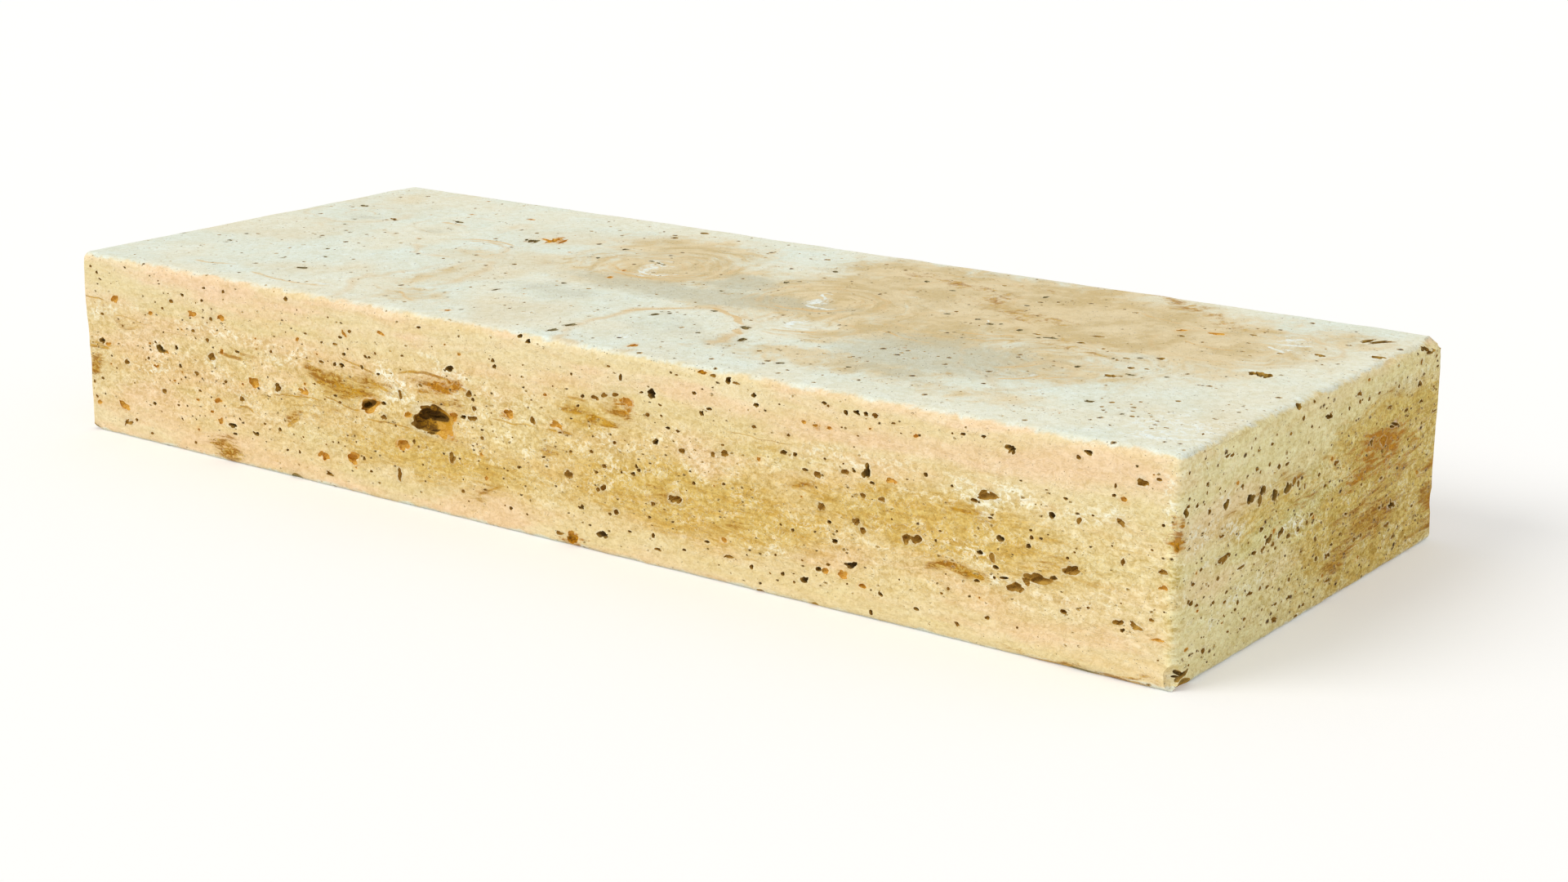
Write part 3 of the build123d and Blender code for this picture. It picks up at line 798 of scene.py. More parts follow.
mesh = stone.data
mesh.shade_smooth()
mesh.set_sharp_from_angle(angle=radians(SHARP_FROM))
spots = np.empty(len(mesh.vertices) * 3)
mesh.vertices.foreach_get("co", spots)
spots = spots.reshape(-1, 3)


def paint(name, values):
    """Writes a mask to the mesh, one number from 0 to 1 for each point."""
    layer = mesh.attributes.new(name, "FLOAT", "POINT")
    layer.data.foreach_set("value", np.clip(values, 0, 1).astype("f"))
    print(name, "covers", round(100 * float(np.clip(values, 0, 1).mean())), "%")


ARRIS_MASK, TREAD_MASK, DEPTH_MASK = 9 * MM, 6 * MM, 14 * MM
to_planes = np.sort(np.concatenate([spots - LOW, HIGH - spots], 1), axis=1)
to_level = np.minimum(spots[:, 2] - LOW[2], HIGH[2] - spots[:, 2])
paint("arris", 1 - to_planes[:, 1] / ARRIS_MASK)
paint("depth", to_planes[:, 0] / DEPTH_MASK)
paint("level", 1 - to_level / TREAD_MASK)

# %% Stains
SHAKE = ((26 * MM, 9 * MM), (8 * MM, 2.5 * MM))
SHAKE_SEED = 7

noise.seed_set(SHAKE_SEED)


def shaken(places):
    """The places, moved about by slow and quick noise."""
    moved = places.copy()
    for length, reach in SHAKE:
        shifts = [noise.noise_vector(Vector(place))[:] for place in (places / length).tolist()]
        moved += reach * np.array(shifts)
    return moved


STAINS = {
    "tan": {
        "riser": [
            (500, 66, 1300, 84, 0.85), (330, 82, 420, 44, 0.55), (820, 66, 360, 50, 0.65),
            (110, 80, 260, 60, 0.5),
        ],
        "right_end": [(290, 55, 330, 110, 0.95), (340, 50, 200, 130, 0.95), (120, 84, 160, 50, 0.5)],
        "back": [(500, 70, 1300, 84, 0.8)],
        "left_end": [(190, 68, 500, 84, 0.8)],
    },
    "green": {
        "riser": [
            (960, 78, 120, 90, 0.8), (700, 98, 130, 40, 0.5), (470, 78, 110, 60, 0.55), (430, 94, 60, 40, 0.5),
            (260, 40, 180, 26, 0.5), (620, 70, 160, 40, 0.45), (860, 98, 110, 22, 0.6), (70, 52, 90, 20, 0.4),
            (790, 10, 300, 14, 0.4), (150, 72, 120, 12, 0.35),
        ],
        # The right end's row covers the whole face: a green tint that is painted light, for the colour of the light
        # on that end.
        "right_end": [(190, 74, 640, 240, 0.75)],
        "tread": [(90, 300, 260, 200, 0.35), (180, 70, 300, 90, 0.35), (560, 90, 100, 90, 0.4)],
        "back": [(300, 60, 400, 60, 0.6), (800, 90, 260, 60, 0.6)],
        "left_end": [(190, 74, 400, 120, 0.6)],
    },
    "ochre": {
        "riser": [
            (400, 42, 220, 36, 0.75), (640, 50, 240, 48, 0.9), (598, 50, 90, 24, 0.4), (825, 74, 180, 36, 0.9),
            (905, 60, 120, 26, 0.5), (540, 96, 70, 26, 0.7), (455, 28, 70, 18, 0.5, 10),
            (690, 100, 130, 24, 0.4), (950, 86, 90, 40, 0.35), (300, 84, 110, 30, 0.55),
            (60, 94, 60, 16, 0.45, -10), (185, 88, 50, 12, 0.4), (20, 56, 50, 30, 0.4),
            (250, 55, 90, 16, 0.4, 4), (395, 92, 70, 18, 0.5), (730, 82, 60, 14, 0.5), (125, 66, 230, 44, 0.34),
            (230, 10, 300, 22, 0.3),
        ],
        "right_end": [
            (290, 44, 250, 90, 1.0), (300, 98, 190, 50, 0.95), (120, 90, 190, 34, 0.6), (290, 6, 200, 24, 0.7),
            (200, 60, 160, 30, 0.55), (180, 128, 200, 14, 0.3), (355, 60, 80, 120, 0.6),
        ],
        "tread": [
            (395, 300, 170, 110, 0.68), (600, 335, 160, 90, 0.8), (700, 225, 150, 130, 0.8),
            (425, 235, 190, 130, 0.72), (372, 196, 150, 46, 0.5), (690, 300, 280, 150, 0.95),
            (790, 270, 300, 170, 0.95), (600, 240, 160, 190, 0.85), (552, 236, 110, 90, 0.6),
            (880, 250, 160, 150, 0.75), (262, 185, 70, 40, 0.5), (45, 262, 70, 50, 0.3),
            (290, 110, 26, 150, 0.5), (330, 46, 90, 60, 0.5), (825, 140, 150, 90, 0.65),
            (660, 130, 70, 70, 0.6), (160, 262, 60, 40, 0.3), (690, 170, 190, 90, 0.7),
            (800, 170, 120, 90, 0.6), (700, 66, 240, 60, 0.6), (950, 320, 90, 90, 0.6),
            (110, 205, 240, 40, 0.32), (930, 190, 80, 60, 0.5), (830, 50, 120, 60, 0.5),
            (520, 150, 90, 30, 0.45),
        ],
        "back": [
            (260, 60, 300, 40, 0.8), (700, 88, 360, 34, 0.7), (480, 30, 200, 24, 0.5), (880, 40, 160, 30, 0.6),
        ],
        "left_end": [(120, 80, 180, 34, 0.7), (290, 46, 140, 36, 0.7), (200, 20, 160, 20, 0.4)],
        "bed": [(300, 200, 300, 160, 0.7), (720, 150, 320, 180, 0.7)],
    },
    "umber": {
        "riser": [
            (302, 81, 54, 11, 1.0, -5), (273, 88, 28, 10, 0.75), (332, 89, 44, 8, 0.75, -14),
            (382, 102, 50, 6, 0.6, 8), (388, 95, 26, 5, 0.55), (410, 86, 36, 6, 0.65, -6),
            (185, 89, 30, 6, 0.65, -5), (310, 101, 40, 4, 0.55, -14), (556, 95, 34, 7, 0.9, -4),
            (527, 97, 24, 6, 0.6), (573, 107, 26, 11, 0.7, -10), (243, 47, 22, 8, 0.65, 30),
            (185, 45, 22, 5, 0.5, 10), (10, 52, 24, 11, 0.7, 12), (15, 70, 34, 5, 0.7),
            (165, 7, 40, 17, 0.7, -10), (45, 96, 46, 8, 0.4, -18), (507, 66, 18, 7, 0.55, 14),
            (515, 81, 28, 3, 0.65), (727, 79, 26, 6, 0.55, 16), (855, 86, 34, 6, 0.6),
            (848, 48, 58, 8, 0.8, -5), (15, 109, 38, 3, 0.5), (672, 41, 40, 9, 0.5, 24),
            (445, 26, 50, 7, 0.45, 24), (940, 2, 120, 4, 0.75), (240, 63, 60, 3, 0.6, 5),
            (290, 65, 60, 3, 0.55, -3), (322, 59, 76, 3, 0.5, -6), (272, 57, 24, 6, 0.5), (90, 66, 30, 3, 0.4),
            (640, 108, 24, 3, 0.3), (765, 108, 90, 4, 0.35), (600, 52, 60, 14, 0.4), (795, 72, 50, 10, 0.35),
            (900, 62, 50, 10, 0.35),
        ],
        "right_end": [
            (255, 80, 60, 6, 0.8, 5), (240, 75, 40, 5, 0.7), (372, 58, 30, 10, 0.8), (370, 35, 36, 12, 0.85),
            (370, 14, 30, 18, 0.75), (275, 42, 90, 22, 0.75, 6), (222, 27, 54, 12, 0.7, 8),
            (140, 103, 120, 8, 0.5), (260, 58, 110, 12, 0.6, 8), (300, 124, 90, 5, 0.5, -6),
            (170, 84, 70, 10, 0.5, 4), (350, 100, 50, 10, 0.45), (320, 66, 60, 10, 0.55, 6),
            (240, 94, 60, 8, 0.4), (60, 100, 70, 6, 0.4), (110, 52, 70, 5, 0.35),
        ],
        "tread": [
            (820, 350, 120, 16, 0.55, -28), (640, 318, 110, 24, 0.45, -18), (720, 268, 130, 26, 0.5, -24),
            (805, 200, 90, 40, 0.35), (780, 75, 70, 40, 0.2), (850, 325, 110, 12, 0.35, -24),
            (690, 340, 120, 10, 0.35, -12), (520, 190, 60, 10, 0.35, -16),
        ],
        "back": [
            (180, 66, 60, 8, 0.7, 4), (420, 84, 90, 6, 0.6, -3), (760, 58, 80, 8, 0.7, 3),
            (610, 104, 60, 4, 0.5),
        ],
        "left_end": [(90, 84, 50, 7, 0.7, 4), (250, 60, 70, 6, 0.6, -4), (330, 104, 40, 5, 0.5)],
        "bed": [(420, 240, 200, 24, 0.5, 20), (800, 120, 160, 20, 0.5, -14)],
    },
    "pale": {
        "riser": [
            (170, 101, 180, 12, 0.48), (25, 103, 38, 15, 0.6), (352, 87, 34, 22, 0.9, -35),
            (372, 80, 20, 14, 0.6), (412, 108, 60, 14, 0.6, -20), (420, 94, 24, 24, 0.5),
            (470, 100, 50, 26, 0.4), (612, 90, 60, 34, 0.25), (640, 74, 50, 18, 0.30), (870, 99, 60, 18, 0.75),
            (866, 90, 14, 26, 0.8, 15), (868, 56, 44, 5, 0.9, -42), (848, 67, 26, 4, 0.7), (90, 63, 50, 9, 0.6),
            (185, 60, 60, 8, 0.45), (945, 100, 60, 18, 0.5), (760, 105, 100, 14, 0.45),
            (560, 76, 36, 14, 0.6, -30), (994, 120, 14, 50, 0.6), (150, 78, 60, 12, 0.5),
            (240, 96, 50, 12, 0.55), (330, 36, 40, 6, 0.4), (60, 112, 40, 8, 0.5), (940, 44, 60, 14, 0.4),
            (700, 30, 60, 12, 0.4), (480, 70, 40, 20, 0.35), (820, 92, 60, 8, 0.45), (575, 60, 30, 10, 0.4),
        ],
        "right_end": [
            (24, 97, 50, 14, 0.65), (32, 88, 30, 8, 0.65), (67, 88, 34, 12, 0.85), (105, 43, 26, 8, 0.65),
            (150, 68, 34, 9, 0.95), (157, 63, 26, 6, 0.8), (75, 38, 40, 12, 0.65), (45, 32, 30, 10, 0.55),
            (115, 103, 24, 6, 0.8), (60, 112, 60, 5, 0.5), (285, 133, 8, 16, 0.4), (222, 3, 18, 6, 0.5),
            (40, 70, 40, 10, 0.4), (90, 66, 70, 6, 0.4), (300, 30, 30, 14, 0.4), (350, 128, 60, 20, 0.35),
            (30, 141, 70, 4, 0.5), (10, 60, 24, 60, 0.35),
        ],
        "tread": [
            (416, 224, 14, 34, 1.0, 14), (402, 246, 24, 8, 0.7, 20), (422, 205, 28, 8, 0.6, -20),
            (586, 206, 14, 30, 0.9, 8), (576, 224, 20, 10, 0.6, 30), (615, 140, 12, 24, 0.8, 10),
            (922, 300, 24, 22, 0.75), (930, 270, 34, 14, 0.6), (975, 32, 50, 14, 0.8), (965, 60, 80, 90, 0.45),
            (546, 40, 14, 14, 0.7), (700, 290, 16, 16, 0.4), (858, 66, 18, 14, 0.6), (616, 84, 8, 12, 0.7),
            (247, 28, 16, 8, 0.6), (680, 232, 14, 12, 0.4), (30, 350, 120, 60, 0.3), (235, 212, 60, 14, 0.5),
            (815, 110, 40, 14, 0.4),
        ],
        "back": [
            (120, 98, 160, 14, 0.7), (380, 104, 120, 18, 0.6), (840, 98, 160, 14, 0.7), (560, 64, 120, 16, 0.5),
        ],
        "left_end": [(80, 104, 90, 12, 0.7), (230, 84, 120, 14, 0.6), (330, 70, 60, 12, 0.6)],
        "bed": [(200, 90, 90, 50, 0.6), (600, 300, 140, 60, 0.5), (860, 240, 60, 80, 0.5)],
    },
    "rust": {
        "riser": [
            (406, 100, 28, 11, 1.0, -10), (400, 96, 44, 12, 0.45, -6), (577, 113, 13, 9, 0.9),
            (525, 5, 17, 9, 1.0), (44, 26, 14, 5, 0.5, -8), (360, 48, 14, 8, 0.6), (305, 27, 14, 7, 0.6),
            (413, 76, 12, 7, 0.7), (407, 65, 12, 7, 0.8, -30), (467, 87, 10, 6, 0.6), (735, 124, 28, 2, 0.7),
            (998, 106, 5, 8, 0.9), (998, 92, 6, 10, 1.0), (303, 122, 7, 4, 0.6, -45), (80, 94, 18, 5, 0.3),
            (455, 28, 30, 6, 0.3, 20),
        ],
        "right_end": [
            (1, 105, 4, 8, 0.9), (1, 92, 5, 10, 1.0), (287, 94, 52, 22, 0.85, -6), (306, 91, 24, 8, 0.7, -10),
            (262, 92, 12, 22, 0.6), (255, 78, 56, 10, 0.65, 8), (288, 82, 100, 30, 0.5, -4),
            (240, 76, 60, 12, 0.4), (366, 56, 30, 6, 0.5), (370, 30, 26, 8, 0.5), (250, 28, 40, 5, 0.4, 12),
        ],
        "tread": [(281, 262, 9, 26, 0.75, 10), (262, 250, 8, 24, 0.35, 30), (725, 125, 30, 14, 0.2)],
        "back": [(330, 70, 20, 8, 0.8), (690, 40, 16, 8, 0.7)],
        "left_end": [(180, 74, 16, 8, 0.8)],
        "bed": [(500, 180, 20, 12, 0.6)],
    },
    "olive": {
        "riser": [
            (430, 95, 60, 40, 0.35), (700, 98, 120, 20, 0.5), (880, 96, 140, 26, 0.4), (260, 38, 160, 18, 0.35),
            (610, 62, 120, 24, 0.35), (940, 68, 110, 24, 0.4), (60, 50, 80, 14, 0.3), (790, 14, 240, 10, 0.35),
        ],
        "right_end": [
            (140, 76, 190, 22, 0.8, 4), (210, 62, 180, 26, 0.75, 6), (330, 108, 110, 20, 0.7),
            (190, 100, 120, 18, 0.5), (300, 70, 120, 22, 0.6, 8), (120, 28, 150, 16, 0.4, 4),
            (340, 80, 90, 30, 0.5),
        ],
        "back": [(330, 80, 200, 20, 0.5), (700, 64, 240, 18, 0.4)],
        "left_end": [(180, 62, 160, 18, 0.5)],
    },
    "rose": {
        "riser": [
            (140, 137, 260, 20, 0.6), (830, 121, 360, 18, 0.75), (70, 86, 90, 40, 0.7), (230, 80, 90, 26, 0.55),
            (640, 86, 80, 34, 0.6), (745, 40, 90, 30, 0.55), (960, 50, 90, 40, 0.4), (540, 128, 140, 20, 0.4),
            (900, 20, 160, 20, 0.3), (80, 45, 110, 34, 0.6), (150, 62, 160, 30, 0.55), (960, 96, 60, 24, 0.4),
            (300, 130, 160, 30, 0.35),
        ],
        "right_end": [
            (50, 100, 120, 34, 0.9), (300, 88, 110, 30, 0.5), (150, 48, 120, 24, 0.6), (60, 124, 120, 14, 0.4),
            (40, 60, 90, 30, 0.6), (220, 120, 120, 16, 0.4), (330, 20, 80, 20, 0.4),
        ],
        "tread": [
            (300, 80, 90, 130, 0.45), (830, 110, 60, 40, 0.5), (720, 140, 60, 30, 0.35),
            (60, 30, 110, 30, 0.35), (420, 200, 160, 60, 0.3), (960, 230, 60, 60, 0.3),
        ],
        "back": [(520, 124, 500, 18, 0.6), (150, 30, 200, 30, 0.5)],
        "left_end": [(190, 124, 300, 16, 0.5)],
    },
    "grey": {
        "tread": [
            (530, 176, 160, 46, 1.0, 8), (505, 222, 60, 60, 0.8), (748, 120, 150, 90, 0.9),
            (745, 66, 90, 40, 0.6), (440, 170, 140, 60, 0.7), (400, 120, 130, 60, 0.5),
            (860, 190, 60, 40, 0.35), (440, 150, 120, 40, 0.35), (72, 240, 50, 34, 0.5),
            (172, 236, 50, 34, 0.5), (545, 80, 100, 110, 0.42), (600, 60, 60, 60, 0.45),
        ],
        "right_end": [(250, 20, 260, 50, 0.3), (130, 78, 100, 20, 0.35), (320, 126, 110, 24, 0.4)],
        "riser": [(960, 90, 80, 60, 0.25)],
    },
}
print(sum(len(rows) for faces in STAINS.values() for rows in faces.values()), "stains of", len(STAINS), "kinds")

# %% Painting the stains
FACE_REACH = 15 * MM
FALL_OFF = 0.7


def stain_mask(rows, face):
    """Soft ellipses on one face, as one mask for all points. It fades inside the stone."""
    local = moved - face.corner
    along, up = local @ face.along / MM, local @ face.up / MM
    near = 1 - np.clip(-((spots - face.corner) @ face.out) / FACE_REACH, 0, 1)
    mask = np.zeros(len(spots))
    for a, b, width, height, strength, *tilt in rows:
        turn = np.radians(sum(tilt))
        long_way = (along - a) * np.cos(turn) + (up - b) * np.sin(turn)
        short_way = (up - b) * np.cos(turn) - (along - a) * np.sin(turn)
        square = (2 * long_way / width) ** 2 + (2 * short_way / height) ** 2
        mask = np.maximum(mask, strength * np.exp(-FALL_OFF * square))
    return mask * near


moved = shaken(spots)
for kind, faces in STAINS.items():
    paint(kind, np.max([stain_mask(rows, FACES[name]) for name, rows in faces.items()], axis=0))

# %% Painting the linings
RIM = 1.7
WHOLE_RIM_FROM = 4.5

tree = kdtree.KDTree(len(spots))
for index, place in enumerate(spots.tolist()):
    tree.insert(place, index)
tree.balance()
linings = {kind: np.zeros(len(spots)) for kind in LININGS}
rims = np.zeros(len(spots))


def fading(square):
    """1 up to the edge of a hole, fading to 0 at its rim, from the square of the share of its size."""
    return np.clip((RIM - np.sqrt(square)) / (RIM - 1), 0, 1)


for face, hole in HOLES:
    middle, long_way, short_way, _ = hole_frame(face, hole)
    reach = RIM * max(np.linalg.norm(long_way), np.linalg.norm(short_way)) + 1 * MM
    found = [index for _, index, _ in tree.find_range(Vector(middle), reach + depth_of(hole) * MM)]
    local = spots[found] - middle
    mask = fading(sum((local @ half / (half @ half)) ** 2 for half in (long_way, short_way)))
    rims[found] = np.maximum(rims[found], mask * min(max(hole[2], hole[3]) / WHOLE_RIM_FROM, 1))
    linings[hole[5]][found] = np.maximum(linings[hole[5]][found], mask)
for spall in SPALLS:
    if spall.lining:
        square = (((spots - spall.place) / (np.array(spall.half_sizes) * MM)) ** 2).sum(1)
        linings[spall.lining] = np.maximum(linings[spall.lining], fading(square))
for kind, mask in linings.items():
    paint(kind + "_lining", mask)
paint("rim", rims)

# %% [markdown]
# ## The stone's own pattern
#
# Node groups make the pattern out of the place in the stone, so it runs through the block: a layer
# that leaves the riser comes out on the end at the same height. They only give numbers, which the
# materials turn into colour, roughness and bump.
#
# - `travertine_layers`: broad bands, thin sheets, mottling, flecks, a web of crystal and grain. The
#   layers are bent by slow noise and by domes, where the spring's crust once swelled up. The tread is
#   sawn along the layers, so there a dome shows as rings.
# - `tread_rings`: the few single rings that stand out on the tread.
# - `riser_streaks` and `end_streaks`: thin brown lines along the layers, too thin for painted masks.
# - `fine_pores`: pits of about a millimetre, too many and too small to be real holes.
# - `ragged_mask`: tears the soft edge of a painted mask.

# %% Group of layers
def new_group(name, inputs, outputs):
    """A node group with named inputs (name, kind, value) and number outputs."""
    group = bpy.data.node_groups.new(name, "ShaderNodeTree")
    for label, kind, value in inputs:
        socket = group.interface.new_socket(label, in_out="INPUT", socket_type=kind)
        if value is not None:
            socket.default_value = value
    for label in outputs:
        group.interface.new_socket(label, in_out="OUTPUT", socket_type="NodeSocketFloat")
    maker = Maker(group)
    return group, maker, maker.put("NodeGroupInput"), maker.put("NodeGroupOutput")


def stretched(maker, place, across, up):
    """The place times a number, with another one for the height."""
    return maker.vector("MULTIPLY", place, (across, across, up))


def shaken_flat(maker, place, scale, reach):
    """The place over the tread, moved about by noise."""
    shake = maker.shake(place, scale, 3.0, (reach, reach, 0.0))
    return maker.vector("ADD", stretched(maker, place, 1.0, 0.0), shake)


def from_middle(maker, flat_place, along, across):
    """Distance over the tread from a point in millimetres."""
    middle = ((along * MM + LOW[0]), (across * MM + LOW[1]), 0.0)
    node = maker.put("ShaderNodeVectorMath", {"operation": "DISTANCE"})
    for socket, value in zip(node.inputs, (flat_place, middle)):
        maker.feed(socket, value)
    return node.outputs["Value"]


def ridge(maker, noise_value, width):
    """A thin line where the noise crosses its middle."""
    off = maker.math("ABSOLUTE", maker.minus(noise_value, 0.5))
    return maker.rise(off, 0.0, width, 1.0, 0.0)


SLOW_BEND, QUICK_BEND = 0.030, 0.007
DOME_SHAKE = 0.056
DOMES = [
    (415, 238, 105, 34), (590, 212, 85, 28), (616, 140, 55, 20), (830, 160, 90, 24), (60, 252, 70, 9),
    (170, 262, 60, 9), (240, 205, 55, 8), (900, 260, 70, 12), (300, 70, 70, 9), (680, 60, 60, 8),
]

layers, maker, given, made = new_group(
    "travertine_layers", [("Place", "NodeSocketVector", None)],
    ("Broad", "Thin", "Streaky", "Mottle", "Fleck", "Web", "Grain"),
)
place = given.outputs["Place"]
slow = maker.minus(maker.noise(stretched(maker, place, 5.0, 9.0), 1.0, 2.0), 0.5)
quick = maker.minus(maker.noise(stretched(maker, place, 26.0, 40.0), 1.0, 2.0), 0.5)
bend = maker.plus(maker.times(slow, SLOW_BEND), maker.times(quick, QUICK_BEND))
flat_place = shaken_flat(maker, place, 14.0, DOME_SHAKE)
for along, across, radius, height in DOMES:
    dome = maker.rise(from_middle(maker, flat_place, along, across), 0.0, radius * MM, height * MM, 0.0)
    bend = maker.plus(bend, dome)
lift = maker.put("ShaderNodeCombineXYZ", Z=bend).outputs[0]
bent = maker.vector("ADD", place, lift)
maker.feed(made.inputs["Broad"], maker.noise(stretched(maker, bent, 6.0, 48.0), 1.0, 2.0))
maker.feed(made.inputs["Thin"], maker.noise(stretched(maker, bent, 15.0, 190.0), 1.0, 4.0, 0.62))
maker.feed(made.inputs["Streaky"], maker.noise(stretched(maker, bent, 50.0, 330.0), 1.0, 5.0, 0.64, 0.5))
maker.feed(made.inputs["Mottle"], maker.noise(stretched(maker, place, 48.0, 80.0), 1.0, 5.0, 0.62, 0.5))
maker.feed(made.inputs["Fleck"], maker.noise(stretched(maker, place, 190.0, 270.0), 1.0, 4.0, 0.65, 0.8))
web = maker.noise(stretched(maker, bent, 130.0, 190.0), 1.0, 2.0, 0.55, 1.6)
maker.feed(made.inputs["Web"], ridge(maker, web, 0.05))
maker.feed(made.inputs["Grain"], maker.noise(place, 620.0, 3.0, 0.6))
print(layers.name, "gives", [socket.name for socket in made.inputs][:-1])

# %% Group of rings
RING_SHAKE = 0.056
RINGS = [
    (545, 72, 58, 72, 8, 1.0), (415, 236, 60, 50, 6, 0.6), (415, 234, 50, 40, 4, 0.4),
    (414, 230, 38, 30, 4, 0.6), (412, 226, 27, 20, 3, 0.6), (588, 210, 54, 46, 6, 0.8),
    (587, 209, 42, 34, 4, 0.7), (586, 208, 30, 24, 4, 0.6), (618, 136, 42, 34, 5, 0.7),
    (616, 136, 30, 24, 4, 0.7), (828, 112, 26, 40, 6, 0.5), (800, 150, 46, 54, 4, 0.4),
    (240, 196, 42, 36, 6, 0.7), (62, 252, 46, 34, 7, 0.4), (172, 258, 40, 30, 6, 0.4),
    (290, 90, 26, 90, 7, 0.6), (720, 200, 60, 40, 5, 0.6), (716, 198, 44, 28, 4, 0.6),
    (900, 270, 60, 50, 5, 0.6), (660, 300, 50, 34, 5, 0.5),
]

rings, maker, given, made = new_group("tread_rings", [("Place", "NodeSocketVector", None)], ("Ring",))
place = given.outputs["Place"]
flat_place = shaken_flat(maker, place, 17.0, RING_SHAKE)
ring = 0.0
for along, across, half_along, half_across, width, strength in RINGS:
    squash = half_along / half_across
    squashed = maker.vector("MULTIPLY", flat_place, (1.0, squash, 0.0))
    across_squashed = (across + LOW[1] / MM) * squash - LOW[1] / MM
    off = maker.minus(from_middle(maker, squashed, along, across_squashed), half_along * MM)
    one = maker.rise(maker.math("ABSOLUTE", off), 0.0, width * MM, strength, 0.0)
    ring = maker.math("MAXIMUM", ring, one)
patchy = maker.rise(maker.noise(place, 28.0, 2.0), 0.36, 0.56)
maker.feed(made.inputs["Ring"], maker.times(ring, patchy))
print(rings.name, "gives", len(RINGS), "rings")

# %% Groups of streaks
STREAK_EDGE = 1.6
STREAK_CORE = 0.5
RISER_STREAKS = [
    (383, 105, 34, 1.3, 0.04, -5, 0.8), (315, 100, 24, 1.1, -0.25, 0, 0.7), (335, 88, 17, 1.8, -0.20, 0, 0.8),
    (312, 80, 16, 3.0, 0.02, 1, 1.0), (285, 82, 22, 2.2, 0.06, 0, 0.8), (268, 90, 14, 2.4, -0.05, 0, 0.8),
    (248, 65, 38, 0.9, 0.05, 0, 0.7), (300, 67, 30, 1.0, -0.12, 2, 0.7), (345, 60, 34, 0.8, 0.0, 0, 0.7),
    (262, 60, 30, 0.8, 0.10, 0, 0.5), (178, 87, 15, 1.8, 0.0, 0, 0.8), (190, 48, 11, 1.5, 0.0, -4, 0.7),
    (243, 46, 11, 2.6, 0.50, 0, 0.8), (470, 81, 28, 0.9, 0.02, 1, 0.6), (15, 111, 17, 0.7, -0.05, 0, 0.8),
    (15, 71, 19, 1.7, 0.0, 0, 0.8), (8, 51, 11, 3.0, 0.1, 0, 0.7), (165, 8, 12, 3.0, 0.0, 0, 0.7),
    (446, 27, 17, 2.2, 0.40, 0, 0.6), (552, 96, 19, 2.4, -0.05, 0, 1.0), (526, 99, 13, 2.2, 0.0, 0, 0.8),
    (531, 108, 12, 2.0, 0.0, 0, 0.6), (515, 82, 17, 1.0, 0.0, 0, 0.8), (505, 65, 10, 3.0, 0.1, 0, 0.6),
    (723, 80, 9, 2.4, 0.30, 0, 0.7), (850, 87, 15, 1.6, 0.0, 0, 0.8), (848, 48, 26, 3.0, -0.1, 0, 0.7),
    (940, 1, 60, 1.6, 0.0, 0, 0.9), (600, 106, 24, 0.8, 0.0, 0, 0.4), (690, 107, 40, 0.7, 0.0, 0, 0.5),
    (120, 96, 40, 0.7, 0.06, 0, 0.4), (60, 99, 34, 0.8, -0.06, 0, 0.5),
]
END_STREAKS = [
    (262, 78, 32, 1.8, 0.12, -3, 0.8), (240, 82, 26, 1.0, 0.10, 0, 0.6), (284, 92, 24, 2.6, -0.02, 0, 0.9),
    (300, 93, 16, 1.6, -0.10, 0, 0.9), (268, 98, 20, 1.0, 0.0, 0, 0.5), (366, 56, 16, 1.6, -0.06, 0, 0.7),
    (364, 34, 18, 2.2, 0.10, 0, 0.7), (235, 36, 36, 1.3, 0.14, 0, 0.6), (215, 24, 30, 1.0, 0.10, 0, 0.6),
    (250, 30, 30, 0.9, 0.10, 0, 0.6), (120, 88, 40, 1.2, 0.12, 0, 0.4), (170, 84, 40, 0.9, 0.12, 0, 0.5),
    (330, 74, 40, 1.0, 0.16, 0, 0.6), (290, 62, 40, 0.8, 0.12, 0, 0.5), (60, 144, 60, 0.5, 0.0, 0, 0.4),
    (70, 136, 60, 0.5, -0.02, 0, 0.3), (350, 12, 30, 2.0, 0.0, 0, 0.6), (316, 22, 34, 1.0, 0.10, 0, 0.5),
]


def streak_group(name, rows):
    """A node group that draws thin bowed lines on a side, from the place along and up it."""
    group, maker, given, made = new_group(
        name, [("Along", "NodeSocketFloat", 0.0), ("Up", "NodeSocketFloat", 0.0)], ("Streak",),
    )
    drawn = 0.0
    for along, up, half, thick, slope, bow, strength in rows:
        off = maker.minus(given.outputs["Along"], along * MM)
        line = maker.scaled(off, slope, up * MM)
        line = maker.scaled(maker.times(off, off), bow * MM / (half * MM) ** 2, line)
        far = maker.math("ABSOLUTE", maker.minus(given.outputs["Up"], line))
        across = maker.rise(far, 0.0, STREAK_EDGE * thick * MM, strength, 0.0)
        ends = maker.rise(maker.math("ABSOLUTE", off), STREAK_CORE * half * MM, half * MM, 1.0, 0.0)
        drawn = maker.math("MAXIMUM", drawn, maker.times(across, ends))
    maker.feed(made.inputs["Streak"], drawn)
    print(name, "draws", len(rows), "streaks")
    return group


